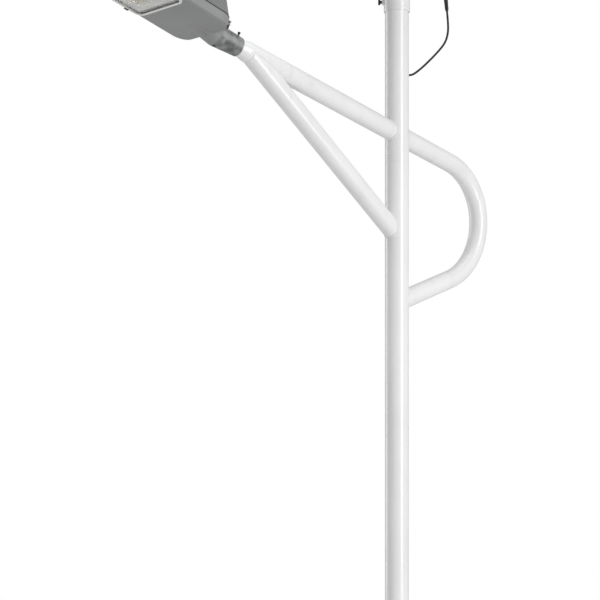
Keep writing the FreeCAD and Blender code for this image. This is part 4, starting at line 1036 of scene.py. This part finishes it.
# The reflector's flat flange is white, and its pleated walls stay cream.
FLANGE_DEPTH = 0.002
pleats.data.materials.append(finishes["board_white"])
to_lamp = LAMP.inverted()
for face in pleats.data.polygons:
    if (to_lamp @ face.center).z < mirror_low.z + FLANGE_DEPTH:
        face.material_index = 1
coat(domes, "led_silicone")
finished = {name for names in USES.values() for name in names.split()}
print("nodes without a finish:", sorted(set(nodes) - finished))

# %% [markdown]
# ## Floor, sky and lights
# The lamp stands on a plain pale round floor. The sky is white to the camera, and gives a
# soft grey light to everything else. A tall softbox on the right of the camera draws the
# broad highlight down the pole, a narrow one behind it draws the thin bright rim on the
# left, and a wide one overhead lights the tops of the arm and the loop.

# %% A pale floor
FLOOR_RADIUS = 5.5
disc = bmesh.new()
bmesh.ops.create_circle(disc, cap_ends=True, radius=FLOOR_RADIUS, segments=128)
bmesh.ops.translate(disc, verts=disc.verts, vec=(0, 0, cad_bounds[0].z - 0.0005))
floor_mesh = bpy.data.meshes.new("floor")
disc.to_mesh(floor_mesh)
disc.free()
floor = add_to_scene("floor", floor_mesh)
finishes["pale_floor"] = plain_finish(
    "pale_floor", (0.80, 0.80, 0.80), (0.78, 0.78, 0.78), 0.6,
    grain=120, depth=0.0002, rough=(0.85, 0.95),
)
coat(floor, "pale_floor")
print("floor radius", FLOOR_RADIUS)

# %% A white sky that lights softly
sky = bpy.data.worlds.new("studio_sky")
scene.world = sky
sky.use_nodes = True
sky_tree = sky.node_tree
sky_tree.nodes.clear()
seen = sky_tree.nodes.new("ShaderNodeBackground")
seen.inputs["Color"].default_value = (1, 1, 1, 1)
lighting = sky_tree.nodes.new("ShaderNodeBackground")
lighting.inputs["Color"].default_value = (1, 1, 1, 1)
lighting.inputs["Strength"].default_value = 0.48
path = sky_tree.nodes.new("ShaderNodeLightPath")
choice = sky_tree.nodes.new("ShaderNodeMixShader")
target = sky_tree.nodes.new("ShaderNodeOutputWorld")
sky_tree.links.new(path.outputs["Is Camera Ray"], choice.inputs["Fac"])
sky_tree.links.new(lighting.outputs["Background"], choice.inputs[1])
sky_tree.links.new(seen.outputs["Background"], choice.inputs[2])
sky_tree.links.new(choice.outputs["Shader"], target.inputs["Surface"])
print("sky light", lighting.inputs["Strength"].default_value)


# %% Three softboxes
def softbox(name, place, aim, width, height, power):
    light = bpy.data.lights.new(name, "AREA")
    light.shape = "RECTANGLE"
    light.size = width
    light.size_y = height
    light.energy = power
    lamp_object = bpy.data.objects.new(name, light)
    lamp_object.location = place
    lamp_object.rotation_euler = (Vector(aim) - Vector(place)).to_track_quat("-Z", "Y").to_euler()
    lamp_object.visible_camera = False
    scene.collection.objects.link(lamp_object)
    print(name, power, "W")


ARM_LEVEL = (0, 0, 3.0)
softbox("key", (0.55, -6.5, 3.2), ARM_LEVEL, 2.0, 6.0, 240)
softbox("rim", (-2.2, 6.2, 3.2), ARM_LEVEL, 1.4, 6.0, 110)
softbox("top", (-0.6, -0.3, 7.5), (-0.2, 0, 0), 4.0, 4.0, 120)
